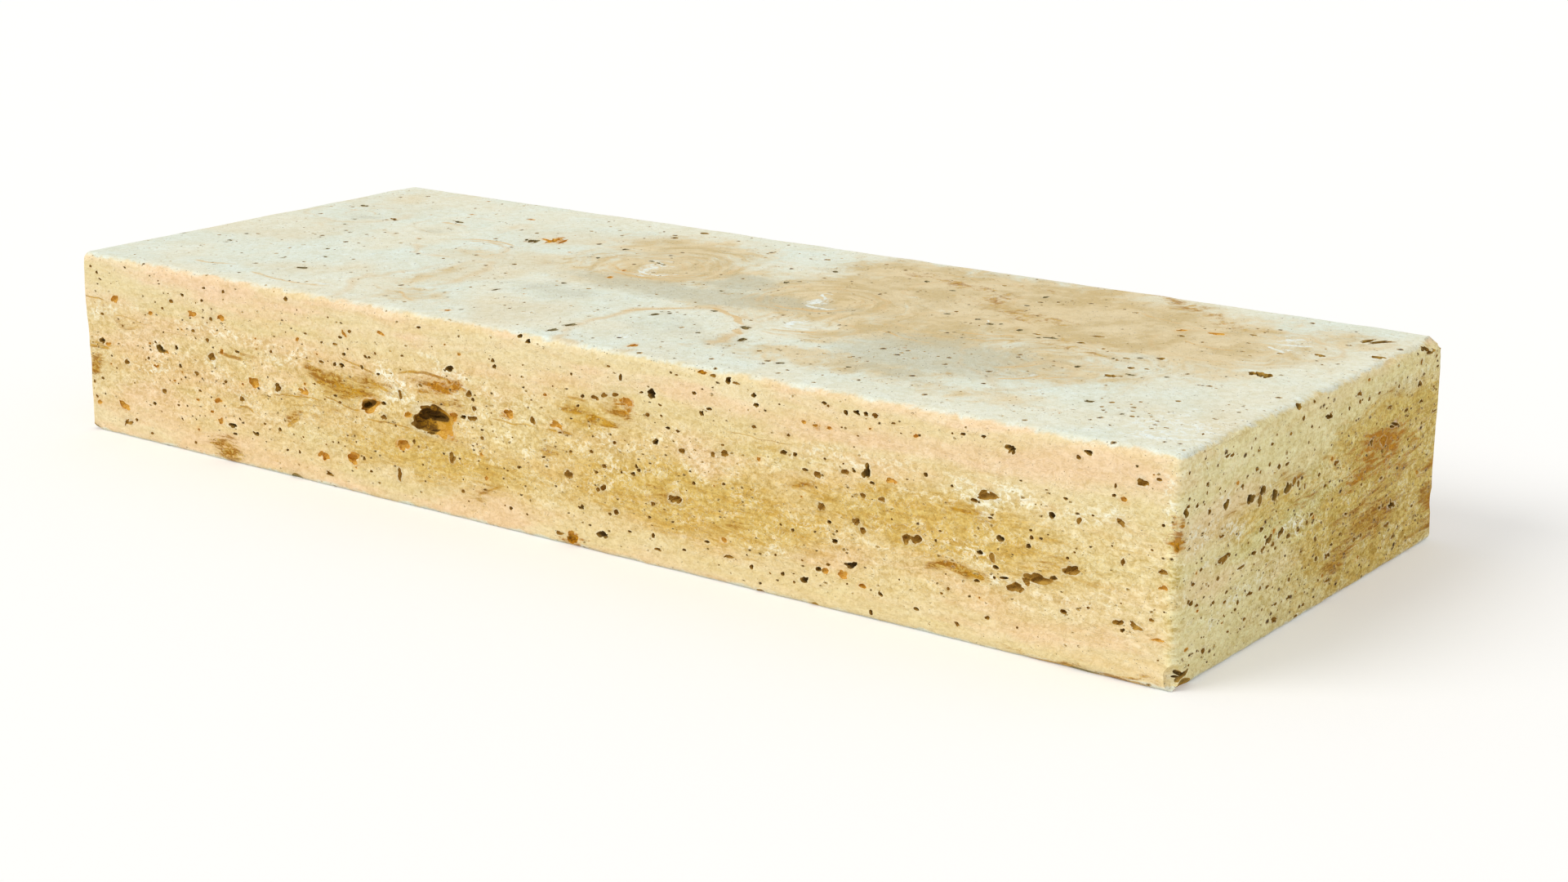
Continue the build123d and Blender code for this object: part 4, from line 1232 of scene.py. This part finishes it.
TREAD_WHITES = [
    (406, 241, 9, 1.8, -1.1, 0, 1.0), (412, 222, 4, 9.0, -0.4, 0, 1.0), (424, 206, 17, 1.8, -0.10, 5, 1.0),
    (436, 214, 10, 1.4, 0.30, 3, 0.7), (402, 252, 12, 1.2, 0.2, -2, 0.7), (578, 222, 9, 1.6, -0.9, 0, 1.0),
    (585, 203, 4, 9.0, -0.4, 0, 1.0), (597, 189, 16, 1.8, 0.08, 4, 0.9), (572, 232, 9, 1.2, 0.3, -2, 0.7),
    (613, 140, 4, 8.0, -0.5, 0, 0.9), (624, 128, 13, 1.6, 0.15, 3, 0.8), (634, 138, 8, 1.2, 0.5, 2, 0.6),
    (356, 246, 8, 1.4, -0.2, 0, 0.6), (722, 226, 6, 1.4, -0.9, 0, 0.6), (930, 292, 18, 3.0, 0.4, 0, 0.7),
    (924, 272, 12, 2.4, -0.5, 0, 0.7), (972, 30, 24, 2.0, 0.25, 2, 0.8), (955, 22, 16, 1.6, -0.2, 0, 0.6),
    (247, 30, 10, 2.0, 0.1, 2, 0.8), (545, 33, 6, 1.6, 0.3, 3, 0.8), (160, 32, 26, 1.2, -0.1, 0, 0.4),
]
TREAD_TANS = [
    (560, 134, 34, 3.2, -0.52, -9, 1.0), (508, 116, 20, 2.6, 1.1, -4, 0.9), (600, 96, 9, 5.0, -0.6, 0, 0.8),
    (425, 196, 38, 2.0, 0.10, 10, 0.9), (440, 206, 30, 1.6, 0.30, 9, 0.8), (452, 220, 20, 1.6, 0.70, 6, 0.8),
    (398, 206, 26, 2.0, -0.30, 6, 0.7), (590, 178, 30, 2.0, 0.15, 8, 0.9), (602, 184, 22, 1.6, 0.40, 6, 0.8),
    (628, 118, 22, 2.0, 0.30, 6, 0.8), (640, 126, 14, 1.6, 0.70, 4, 0.7), (240, 230, 30, 2.4, 0.05, -9, 0.8),
    (238, 222, 22, 1.8, 0.10, -7, 0.6), (62, 262, 24, 2.4, -0.10, -9, 0.6), (165, 266, 22, 2.4, -0.10, -9, 0.6),
    (740, 190, 24, 2.0, 0.40, 7, 0.8), (752, 180, 20, 1.8, 0.50, 6, 0.7), (806, 126, 16, 2.4, 1.0, 5, 0.8),
    (828, 100, 14, 3.0, 1.2, 5, 0.9), (844, 112, 12, 2.4, 1.0, 4, 0.7), (880, 250, 30, 2.2, -0.25, 8, 0.7),
    (700, 150, 40, 2.0, -0.20, 6, 0.6), (210, 24, 60, 2.4, -0.06, 6, 0.6), (120, 34, 30, 2.4, 0.10, 6, 0.6),
    (330, 36, 24, 2.6, -0.50, 6, 0.6), (840, 300, 60, 2.4, -0.30, 8, 0.5), (640, 340, 50, 2.4, -0.16, 6, 0.5),
]


riser_streaks = streak_group("riser_streaks", RISER_STREAKS)
end_streaks = streak_group("end_streaks", END_STREAKS)
tread_whites = streak_group("tread_whites", TREAD_WHITES)
tread_tans = streak_group("tread_tans", TREAD_TANS)

# %% Group of fine pores
PORE_SHAKE = 3 * MM
LEAST_PORE, LARGEST_PORE = 0.08, 0.24

pores, maker, given, made = new_group(
    "fine_pores",
    [("Place", "NodeSocketVector", None), ("Amount", "NodeSocketFloat", 0.3), ("Spacing", "NodeSocketFloat", 200.0)],
    ("Pore", "Halo", "Rim"),
)
place = maker.vector("MULTIPLY", given.outputs["Place"], (1.0, 1.0, 1.5))
shake = maker.shake(place, 330.0, 2.0, (PORE_SHAKE,) * 3)
cells = maker.put("ShaderNodeTexVoronoi", Vector=maker.vector("ADD", place, shake), Scale=given.outputs["Spacing"])
chance = maker.put("ShaderNodeSeparateColor", Color=cells.outputs["Color"])
kept = maker.math("LESS_THAN", chance.outputs[0], given.outputs["Amount"])
radius = maker.rise(chance.outputs[1], 0.0, 1.0, LEAST_PORE, LARGEST_PORE)
distance = maker.minus(cells.outputs["Distance"], radius)
for name, start, end in (("Pore", -0.06, 0.0), ("Halo", 0.0, 0.08), ("Rim", 0.06, 0.22)):
    maker.feed(made.inputs[name], maker.times(maker.rise(distance, start, end, 1.0, 0.0), kept))
print(pores.name, "gives", [socket.name for socket in made.inputs][:-1])

# %% Group of ragged masks
ragged, maker, given, made = new_group(
    "ragged_mask",
    [("Mask", "NodeSocketFloat", 0.0), ("Noise", "NodeSocketFloat", 0.5), ("Raggedness", "NodeSocketFloat", 0.7)],
    ("Mask",),
)
torn = maker.times(maker.minus(given.outputs["Noise"], 0.5), given.outputs["Raggedness"])
present = maker.rise(given.outputs["Mask"], 0.0, 0.15)
torn = maker.plus(given.outputs["Mask"], maker.times(torn, present))
maker.feed(made.inputs["Mask"], maker.rise(torn, 0.24, 0.66))
print(ragged.name, "tears a soft mask's edge")

# %% [markdown]
# ## The two finishes
#
# The sawn face and the walls of the holes share the same pattern. The face starts cream on the sides
# and a cooler, greyer cream on the tread. Each painted mask then brings in its own colour, and the thin
# sheets and pores darken or lighten it. Travertine shines very little, so its specular level is low.

# %% Colours
CREAM, PEACH, GREENISH = colour(246, 228, 184), colour(250, 219, 178), colour(238, 221, 164)
OCHRE, DEEP_OCHRE, TAN = colour(224, 190, 100), colour(206, 162, 60), colour(226, 194, 118)
UMBER, DEEP_UMBER, BURNT = colour(214, 160, 18), colour(162, 106, 0), colour(122, 74, 0)
RUST_STAIN, DEEP_RUST = colour(230, 166, 10), colour(182, 118, 0)
CRYSTAL, ROSE, GREY = colour(250, 244, 212), colour(246, 210, 168), colour(198, 192, 162)
LEVEL_BASE, LEVEL_CREAM, LEVEL_TAN = colour(232, 238, 221), colour(238, 237, 214), colour(232, 208, 158)
LEVEL_OCHRE, LEVEL_WHITE, RING_TAN = colour(206, 176, 110), colour(242, 248, 238), colour(226, 190, 128)
PORE_BROWN, OLIVE_BROWN, OLIVE_GREEN = colour(54, 34, 4), colour(156, 120, 48), colour(222, 206, 138)
print("the sides are cream, peach, tan and ochre; the tread is paler and cooler")


# %% Helpers for a finish
def group(maker, tree, **inputs):
    """A node group in a material."""
    node = maker.put("ShaderNodeGroup", {"node_tree": tree})
    for name, value in inputs.items():
        maker.feed(node.inputs[name], value)
    return node.outputs


def torn_mask(maker, name, noise_value, raggedness=0.7):
    """A painted mask with its edge torn by noise."""
    return group(maker, ragged, Mask=maker.attribute(name), Noise=noise_value, Raggedness=raggedness)["Mask"]


def tinted(maker, base, mask, tint, amount=1.0):
    """The base with a colour mixed in where the mask is."""
    return maker.mix(maker.times(mask, amount), base, tint)


WARMTH = {"Red": 0.75, "Green": 1.0, "Blue": 1.7}


def toned(maker, base, tone):
    """A colour made lighter by a number over 0, or darker and warmer by one under 0."""
    shares = {name: maker.scaled(tone, share, 1.0) for name, share in WARMTH.items()}
    return maker.mix(1.0, base, maker.put("ShaderNodeCombineColor", **shares).outputs[0], "MULTIPLY")


def bump(maker, shell, *parts):
    """Bumps on a shell from pairs of a number and how many millimetres high it counts."""
    height = 0.0
    for value, amount in parts:
        height = maker.scaled(value, amount, height)
    node = maker.put("ShaderNodeBump", Strength=1.0, Distance=1.0 * MM, Height=height)
    maker.feed(shell.inputs["Normal"], node.outputs[0])


print("helpers: group, torn_mask, tinted, toned, bump")

# %% Sawn face: stone under the stains
NEAR_SIDE = 12 * MM

maker, output = plain_tree(face_finish)
place = maker.put("ShaderNodeTexCoord").outputs["Object"]
pattern = group(maker, layers, Place=place)
broad, thin, streaky, mottle = (pattern[name] for name in ("Broad", "Thin", "Streaky", "Mottle"))
fleck, web, grain = (pattern[name] for name in ("Fleck", "Web", "Grain"))
tan_share, at_level = maker.attribute("tan"), maker.attribute("level")
near_level = maker.times(maker.attribute("arris"), maker.rise(at_level, 0.0, 0.2, 0.0, 3.0))
nibbled = maker.times(maker.minus(mottle, 0.5), near_level)
level = maker.rise(maker.plus(at_level, nibbled), 0.45, 0.95)
sheets = maker.rise(thin, 0.40, 0.62)
cloud = maker.noise(stretched(maker, place, 9.0, 46.0), 1.0, 3.0, 0.55)
flecks = maker.rise(fleck, 0.46, 0.60)

side = maker.mix(maker.rise(cloud, 0.40, 0.60), PEACH, CREAM)
side = tinted(maker, side, maker.rise(broad, 0.45, 0.62), GREENISH, 0.5)
side = tinted(maker, side, tan_share, TAN, 0.95)
side = tinted(maker, side, sheets, OCHRE, 0.14)
top = tinted(maker, LEVEL_CREAM, maker.rise(cloud, 0.40, 0.58), LEVEL_BASE)
top = tinted(maker, top, maker.rise(broad, 0.50, 0.66), LEVEL_TAN, 0.40)
top = tinted(maker, top, sheets, LEVEL_TAN, 0.12)
still = maker.put("ShaderNodeSeparateXYZ", Vector=place).outputs
near_riser = maker.rise(maker.minus(still[1], float(LOW[1])), 0.0, NEAR_SIDE, 1.0, 0.0)
near_end = maker.rise(maker.minus(float(HIGH[0]), still[0]), 0.0, NEAR_SIDE, 1.0, 0.0)
on_end_face = maker.times(near_end, maker.minus(1.0, level))
base = maker.mix(level, side, top)
green = maker.mix(level, GREENISH, LEVEL_BASE)
rose = maker.mix(level, ROSE, LEVEL_TAN)
swirled = maker.scaled(thin, 0.45, maker.scaled(mottle, 0.3, maker.times(fleck, 0.25)))
side_ochre = maker.mix(maker.rise(streaky, 0.44, 0.60), OCHRE, DEEP_OCHRE)
top_ochre = maker.mix(maker.rise(swirled, 0.44, 0.56), LEVEL_TAN, LEVEL_OCHRE)
for kind, torn_by, raggedness, tint, amount in (
    ("green", streaky, 0.7, green, 0.5),
    ("rose", streaky, 0.7, rose, 0.5),
    ("olive", streaky, 0.7, OLIVE_GREEN, 0.6),
    ("ochre", streaky, 1.0, maker.mix(level, side_ochre, top_ochre), 0.85),
    ("grey", mottle, 0.7, GREY, 0.68),
):
    base = tinted(maker, base, torn_mask(maker, kind, torn_by, raggedness), tint, amount)
ring = maker.times(group(maker, rings, Place=place)["Ring"], level)
base = tinted(maker, base, ring, RING_TAN, 0.6)
print("stone under the stains has", len(face_finish.node_tree.nodes), "nodes")

# %% Sawn face: painted light, crystals, streaks and stains
STREAK_SHAKE = 0.007
TREAD_SHAKE = 0.016
END_LIGHT_TINT = (1.07, 1.14, 1.09, 1.0)

# Painted light: the right end is made lighter and greener, for the light that falls on that end.
base = maker.mix(on_end_face, base, END_LIGHT_TINT, "MULTIPLY")
pale = torn_mask(maker, "pale", maker.scaled(fleck, 0.5, maker.times(mottle, 0.5)), 1.6)
crystal = maker.mix(level, CRYSTAL, LEVEL_WHITE)
crystals = maker.times(pale, maker.rise(flecks, 0.0, 1.0, 0.10, 0.75))
base = tinted(maker, base, crystals, crystal)
porous_band = maker.rise(tan_share, 0.2, 0.9, 0.15, 1.0)
web_share = maker.math("MAXIMUM", maker.rise(mottle, 0.40, 0.58, 0.08, 0.50), maker.times(pale, 0.85))
base = tinted(maker, base, maker.times(web, maker.times(web_share, porous_band)), crystal)
scattered = maker.times(maker.rise(mottle, 0.46, 0.68, 0.0, 0.32), porous_band)
base = tinted(maker, base, maker.times(flecks, scattered), crystal)

shake = maker.shake(place, 42.0, 4.0, (STREAK_SHAKE,) * 3)
wandering = maker.put("ShaderNodeSeparateXYZ", Vector=maker.vector("ADD", place, shake)).outputs
along_x, along_y, up = (maker.minus(wandering[axis], float(LOW[axis])) for axis in range(3))
on_riser = maker.times(group(maker, riser_streaks, Along=along_x, Up=up)["Streak"], near_riser)
on_end = maker.times(group(maker, end_streaks, Along=along_y, Up=up)["Streak"], near_end)
broken = maker.scaled(fleck, 0.45, maker.times(streaky, 0.55))
umber = maker.mix(maker.rise(broken, 0.46, 0.53), UMBER, DEEP_UMBER)
umber = tinted(maker, umber, maker.rise(fleck, 0.50, 0.62), OCHRE, 0.7)
umber = tinted(maker, umber, maker.rise(grain, 0.52, 0.66), BURNT, 0.35)
holding = maker.rise(broken, 0.40, 0.52, 0.60, 1.0)
rust = maker.mix(maker.rise(fleck, 0.44, 0.50), RUST_STAIN, DEEP_RUST)
rust = tinted(maker, rust, maker.rise(grain, 0.50, 0.62), BURNT, 0.55)
on_sides = maker.math("MAXIMUM", on_riser, on_end)
torn_streak = group(maker, ragged, Mask=on_sides, Noise=fleck, Raggedness=1.0)["Mask"]
base = tinted(maker, base, maker.times(torn_mask(maker, "umber", broken, 2.6), holding), umber, 0.97)
base = tinted(maker, base, torn_streak, umber, 0.85)
flat_shake = maker.shake(place, 30.0, 4.0, (TREAD_SHAKE,) * 3)
over_tread = maker.put("ShaderNodeSeparateXYZ", Vector=maker.vector("ADD", place, flat_shake)).outputs
over_x, over_y = (maker.minus(over_tread[axis], float(LOW[axis])) for axis in range(2))
tan_line = maker.times(group(maker, tread_tans, Along=over_x, Up=over_y)["Streak"], level)
white_line = maker.times(group(maker, tread_whites, Along=over_x, Up=over_y)["Streak"], level)
torn_tan = group(maker, ragged, Mask=tan_line, Noise=mottle, Raggedness=1.2)["Mask"]
torn_white = group(maker, ragged, Mask=white_line, Noise=fleck, Raggedness=1.2)["Mask"]
base = tinted(maker, base, torn_tan, RING_TAN, 0.75)
base = tinted(maker, base, torn_white, LEVEL_WHITE, 0.85)
base = tinted(maker, base, maker.times(torn_mask(maker, "rust", broken, 2.8), holding), rust)
base = tinted(maker, base, maker.rise(maker.attribute("rim"), 0.40, 0.95), CRYSTAL, 0.40)
# Painted highlight: the rounded arrises are made a little paler, as if they caught the light.
base = tinted(maker, base, maker.rise(maker.attribute("arris"), 0.4, 1.0), CRYSTAL, 0.14)
base = tinted(maker, base, torn_mask(maker, "olive_lining", fleck, 0.8), OLIVE_BROWN, 0.16)
base = tinted(maker, base, torn_mask(maker, "rust_lining", fleck, 0.8), RUST_STAIN, 0.22)
print("with stains it has", len(face_finish.node_tree.nodes), "nodes")

# %% Sawn face: pores and shell
lively = maker.scaled(maker.rise(tan_share, 0.1, 0.7), 0.66, 0.50)
lively = maker.times(lively, maker.scaled(near_end, 0.7, 1.0))
calm = maker.times(lively, maker.scaled(level, -0.3, 1.0))
uneven = maker.rise(mottle, 0.34, 0.66, -0.05, 0.05)
for value, start, end, darker, lighter in (
    (streaky, 0.34, 0.66, -0.07, 0.06), (grain, 0.28, 0.72, -0.10, 0.10), (fleck, 0.34, 0.62, -0.17, 0.13),
):
    uneven = maker.plus(uneven, maker.rise(value, start, end, darker, lighter))
base = toned(maker, base, maker.times(uneven, calm))
porous = maker.times(maker.rise(streaky, 0.42, 0.60, 0.08, 0.62), maker.rise(mottle, 0.44, 0.60, 0.25, 1.0))
grey_top = maker.times(maker.attribute("grey"), level)
large = group(maker, pores, Place=place, Amount=maker.times(porous, 0.5), Spacing=120.0)
few = maker.scaled(grey_top, 0.10, maker.times(porous, calm))
small = group(maker, pores, Place=place, Amount=few, Spacing=200.0)
many = maker.scaled(grey_top, 0.45, maker.scaled(near_end, 0.12, maker.plus(porous, 0.12)))
tiny = group(maker, pores, Place=place, Amount=many, Spacing=430.0)
for pore in (large, small):
    base = tinted(maker, base, pore["Rim"], CRYSTAL, 0.25)
    base = tinted(maker, base, pore["Halo"], UMBER, 0.75)
    base = tinted(maker, base, pore["Pore"], PORE_BROWN, 0.95)
base = tinted(maker, base, tiny["Pore"], PORE_BROWN, 0.60)

shell = maker.put("ShaderNodeBsdfPrincipled", Base_Color=base, Roughness=maker.rise(grain, 0.2, 0.8, 0.62, 0.80))
shell.inputs["Specular IOR Level"].default_value = 0.25
bump(
    maker, shell, (grain, 0.14), (mottle, 0.22), (fleck, 0.42), (streaky, 0.24), (web, 0.12),
    (large["Halo"], -1.2), (small["Halo"], -0.8), (tiny["Pore"], -0.4),
)
maker.feed(output.inputs["Surface"], shell.outputs[0])
print("face finish has", len(face_finish.node_tree.nodes), "nodes")

# %% Walls of the holes
WALL_CREAM, WALL_OLIVE, WALL_DARK_SHADE = colour(236, 208, 138), colour(200, 156, 66), colour(66, 42, 8)
WALL_RUST, WALL_GOLD, WALL_GREY = colour(246, 194, 90), colour(204, 148, 34), colour(150, 142, 104)
WALL_BROWN_SHADE = colour(112, 72, 8)

maker, output = plain_tree(vug_finish)
place = maker.put("ShaderNodeTexCoord").outputs["Object"]
pattern = group(maker, layers, Place=place)
mottle, fleck, grain = (pattern[name] for name in ("Mottle", "Fleck", "Grain"))
depth = maker.rise(maker.attribute("depth"), 0.04, 0.32)
wall = maker.mix(maker.rise(mottle, 0.35, 0.65), WALL_CREAM, OCHRE)
olive_wall_and_shade = maker.mix(maker.rise(maker.attribute("level"), 0.3, 0.9), WALL_OLIVE, WALL_GREY)
# Painted shade: olive holes are made browner deeper in, over their olive lining.
olive_wall_and_shade = tinted(maker, olive_wall_and_shade, maker.rise(maker.attribute("depth"), 0.08, 0.50), WALL_BROWN_SHADE)
wall = tinted(maker, wall, torn_mask(maker, "olive_lining", mottle, 0.4), olive_wall_and_shade, 0.9)
rust_wall = maker.mix(maker.rise(fleck, 0.44, 0.60), WALL_RUST, WALL_GOLD)
wall = tinted(maker, wall, torn_mask(maker, "rust_lining", mottle, 0.4), rust_wall, 0.9)
gold = maker.times(maker.rise(maker.attribute("depth"), 0.15, 0.5), maker.rise(fleck, 0.44, 0.60))
wall = tinted(maker, wall, gold, WALL_GOLD, 0.8)
crumbs = maker.mix(maker.rise(fleck, 0.42, 0.52), RUST_STAIN, DEEP_RUST)
crumbs = maker.mix(maker.rise(grain, 0.46, 0.58), crumbs, BURNT)
worn = maker.times(maker.attribute("rust_lining"), maker.rise(maker.attribute("arris"), 0.0, 0.5))
wall = tinted(maker, wall, worn, crumbs, 0.9)
# Painted shade: dark holes go from olive near the rim to near black deeper in, on top of the shade that the hole
# casts itself.
dark_wall_and_shade = maker.mix(depth, WALL_OLIVE, WALL_DARK_SHADE)
wall = tinted(maker, wall, torn_mask(maker, "dark_lining", mottle, 0.4), dark_wall_and_shade, 0.85)
wall = toned(maker, wall, maker.rise(fleck, 0.30, 0.70, -0.20, 0.15))
shell = maker.put("ShaderNodeBsdfPrincipled", Base_Color=wall, Roughness=0.85)
shell.inputs["Specular IOR Level"].default_value = 0.15
bump(maker, shell, (grain, 0.3), (fleck, 1.2))
maker.feed(output.inputs["Surface"], shell.outputs[0])
print("wall finish has", len(vug_finish.node_tree.nodes), "nodes")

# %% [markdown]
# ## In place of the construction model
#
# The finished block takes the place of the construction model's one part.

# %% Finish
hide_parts("block_step")
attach(stone, "root")
triangles = sum(len(polygon.vertices) - 2 for polygon in stone.data.polygons)
print("triangles of the stone:", triangles)
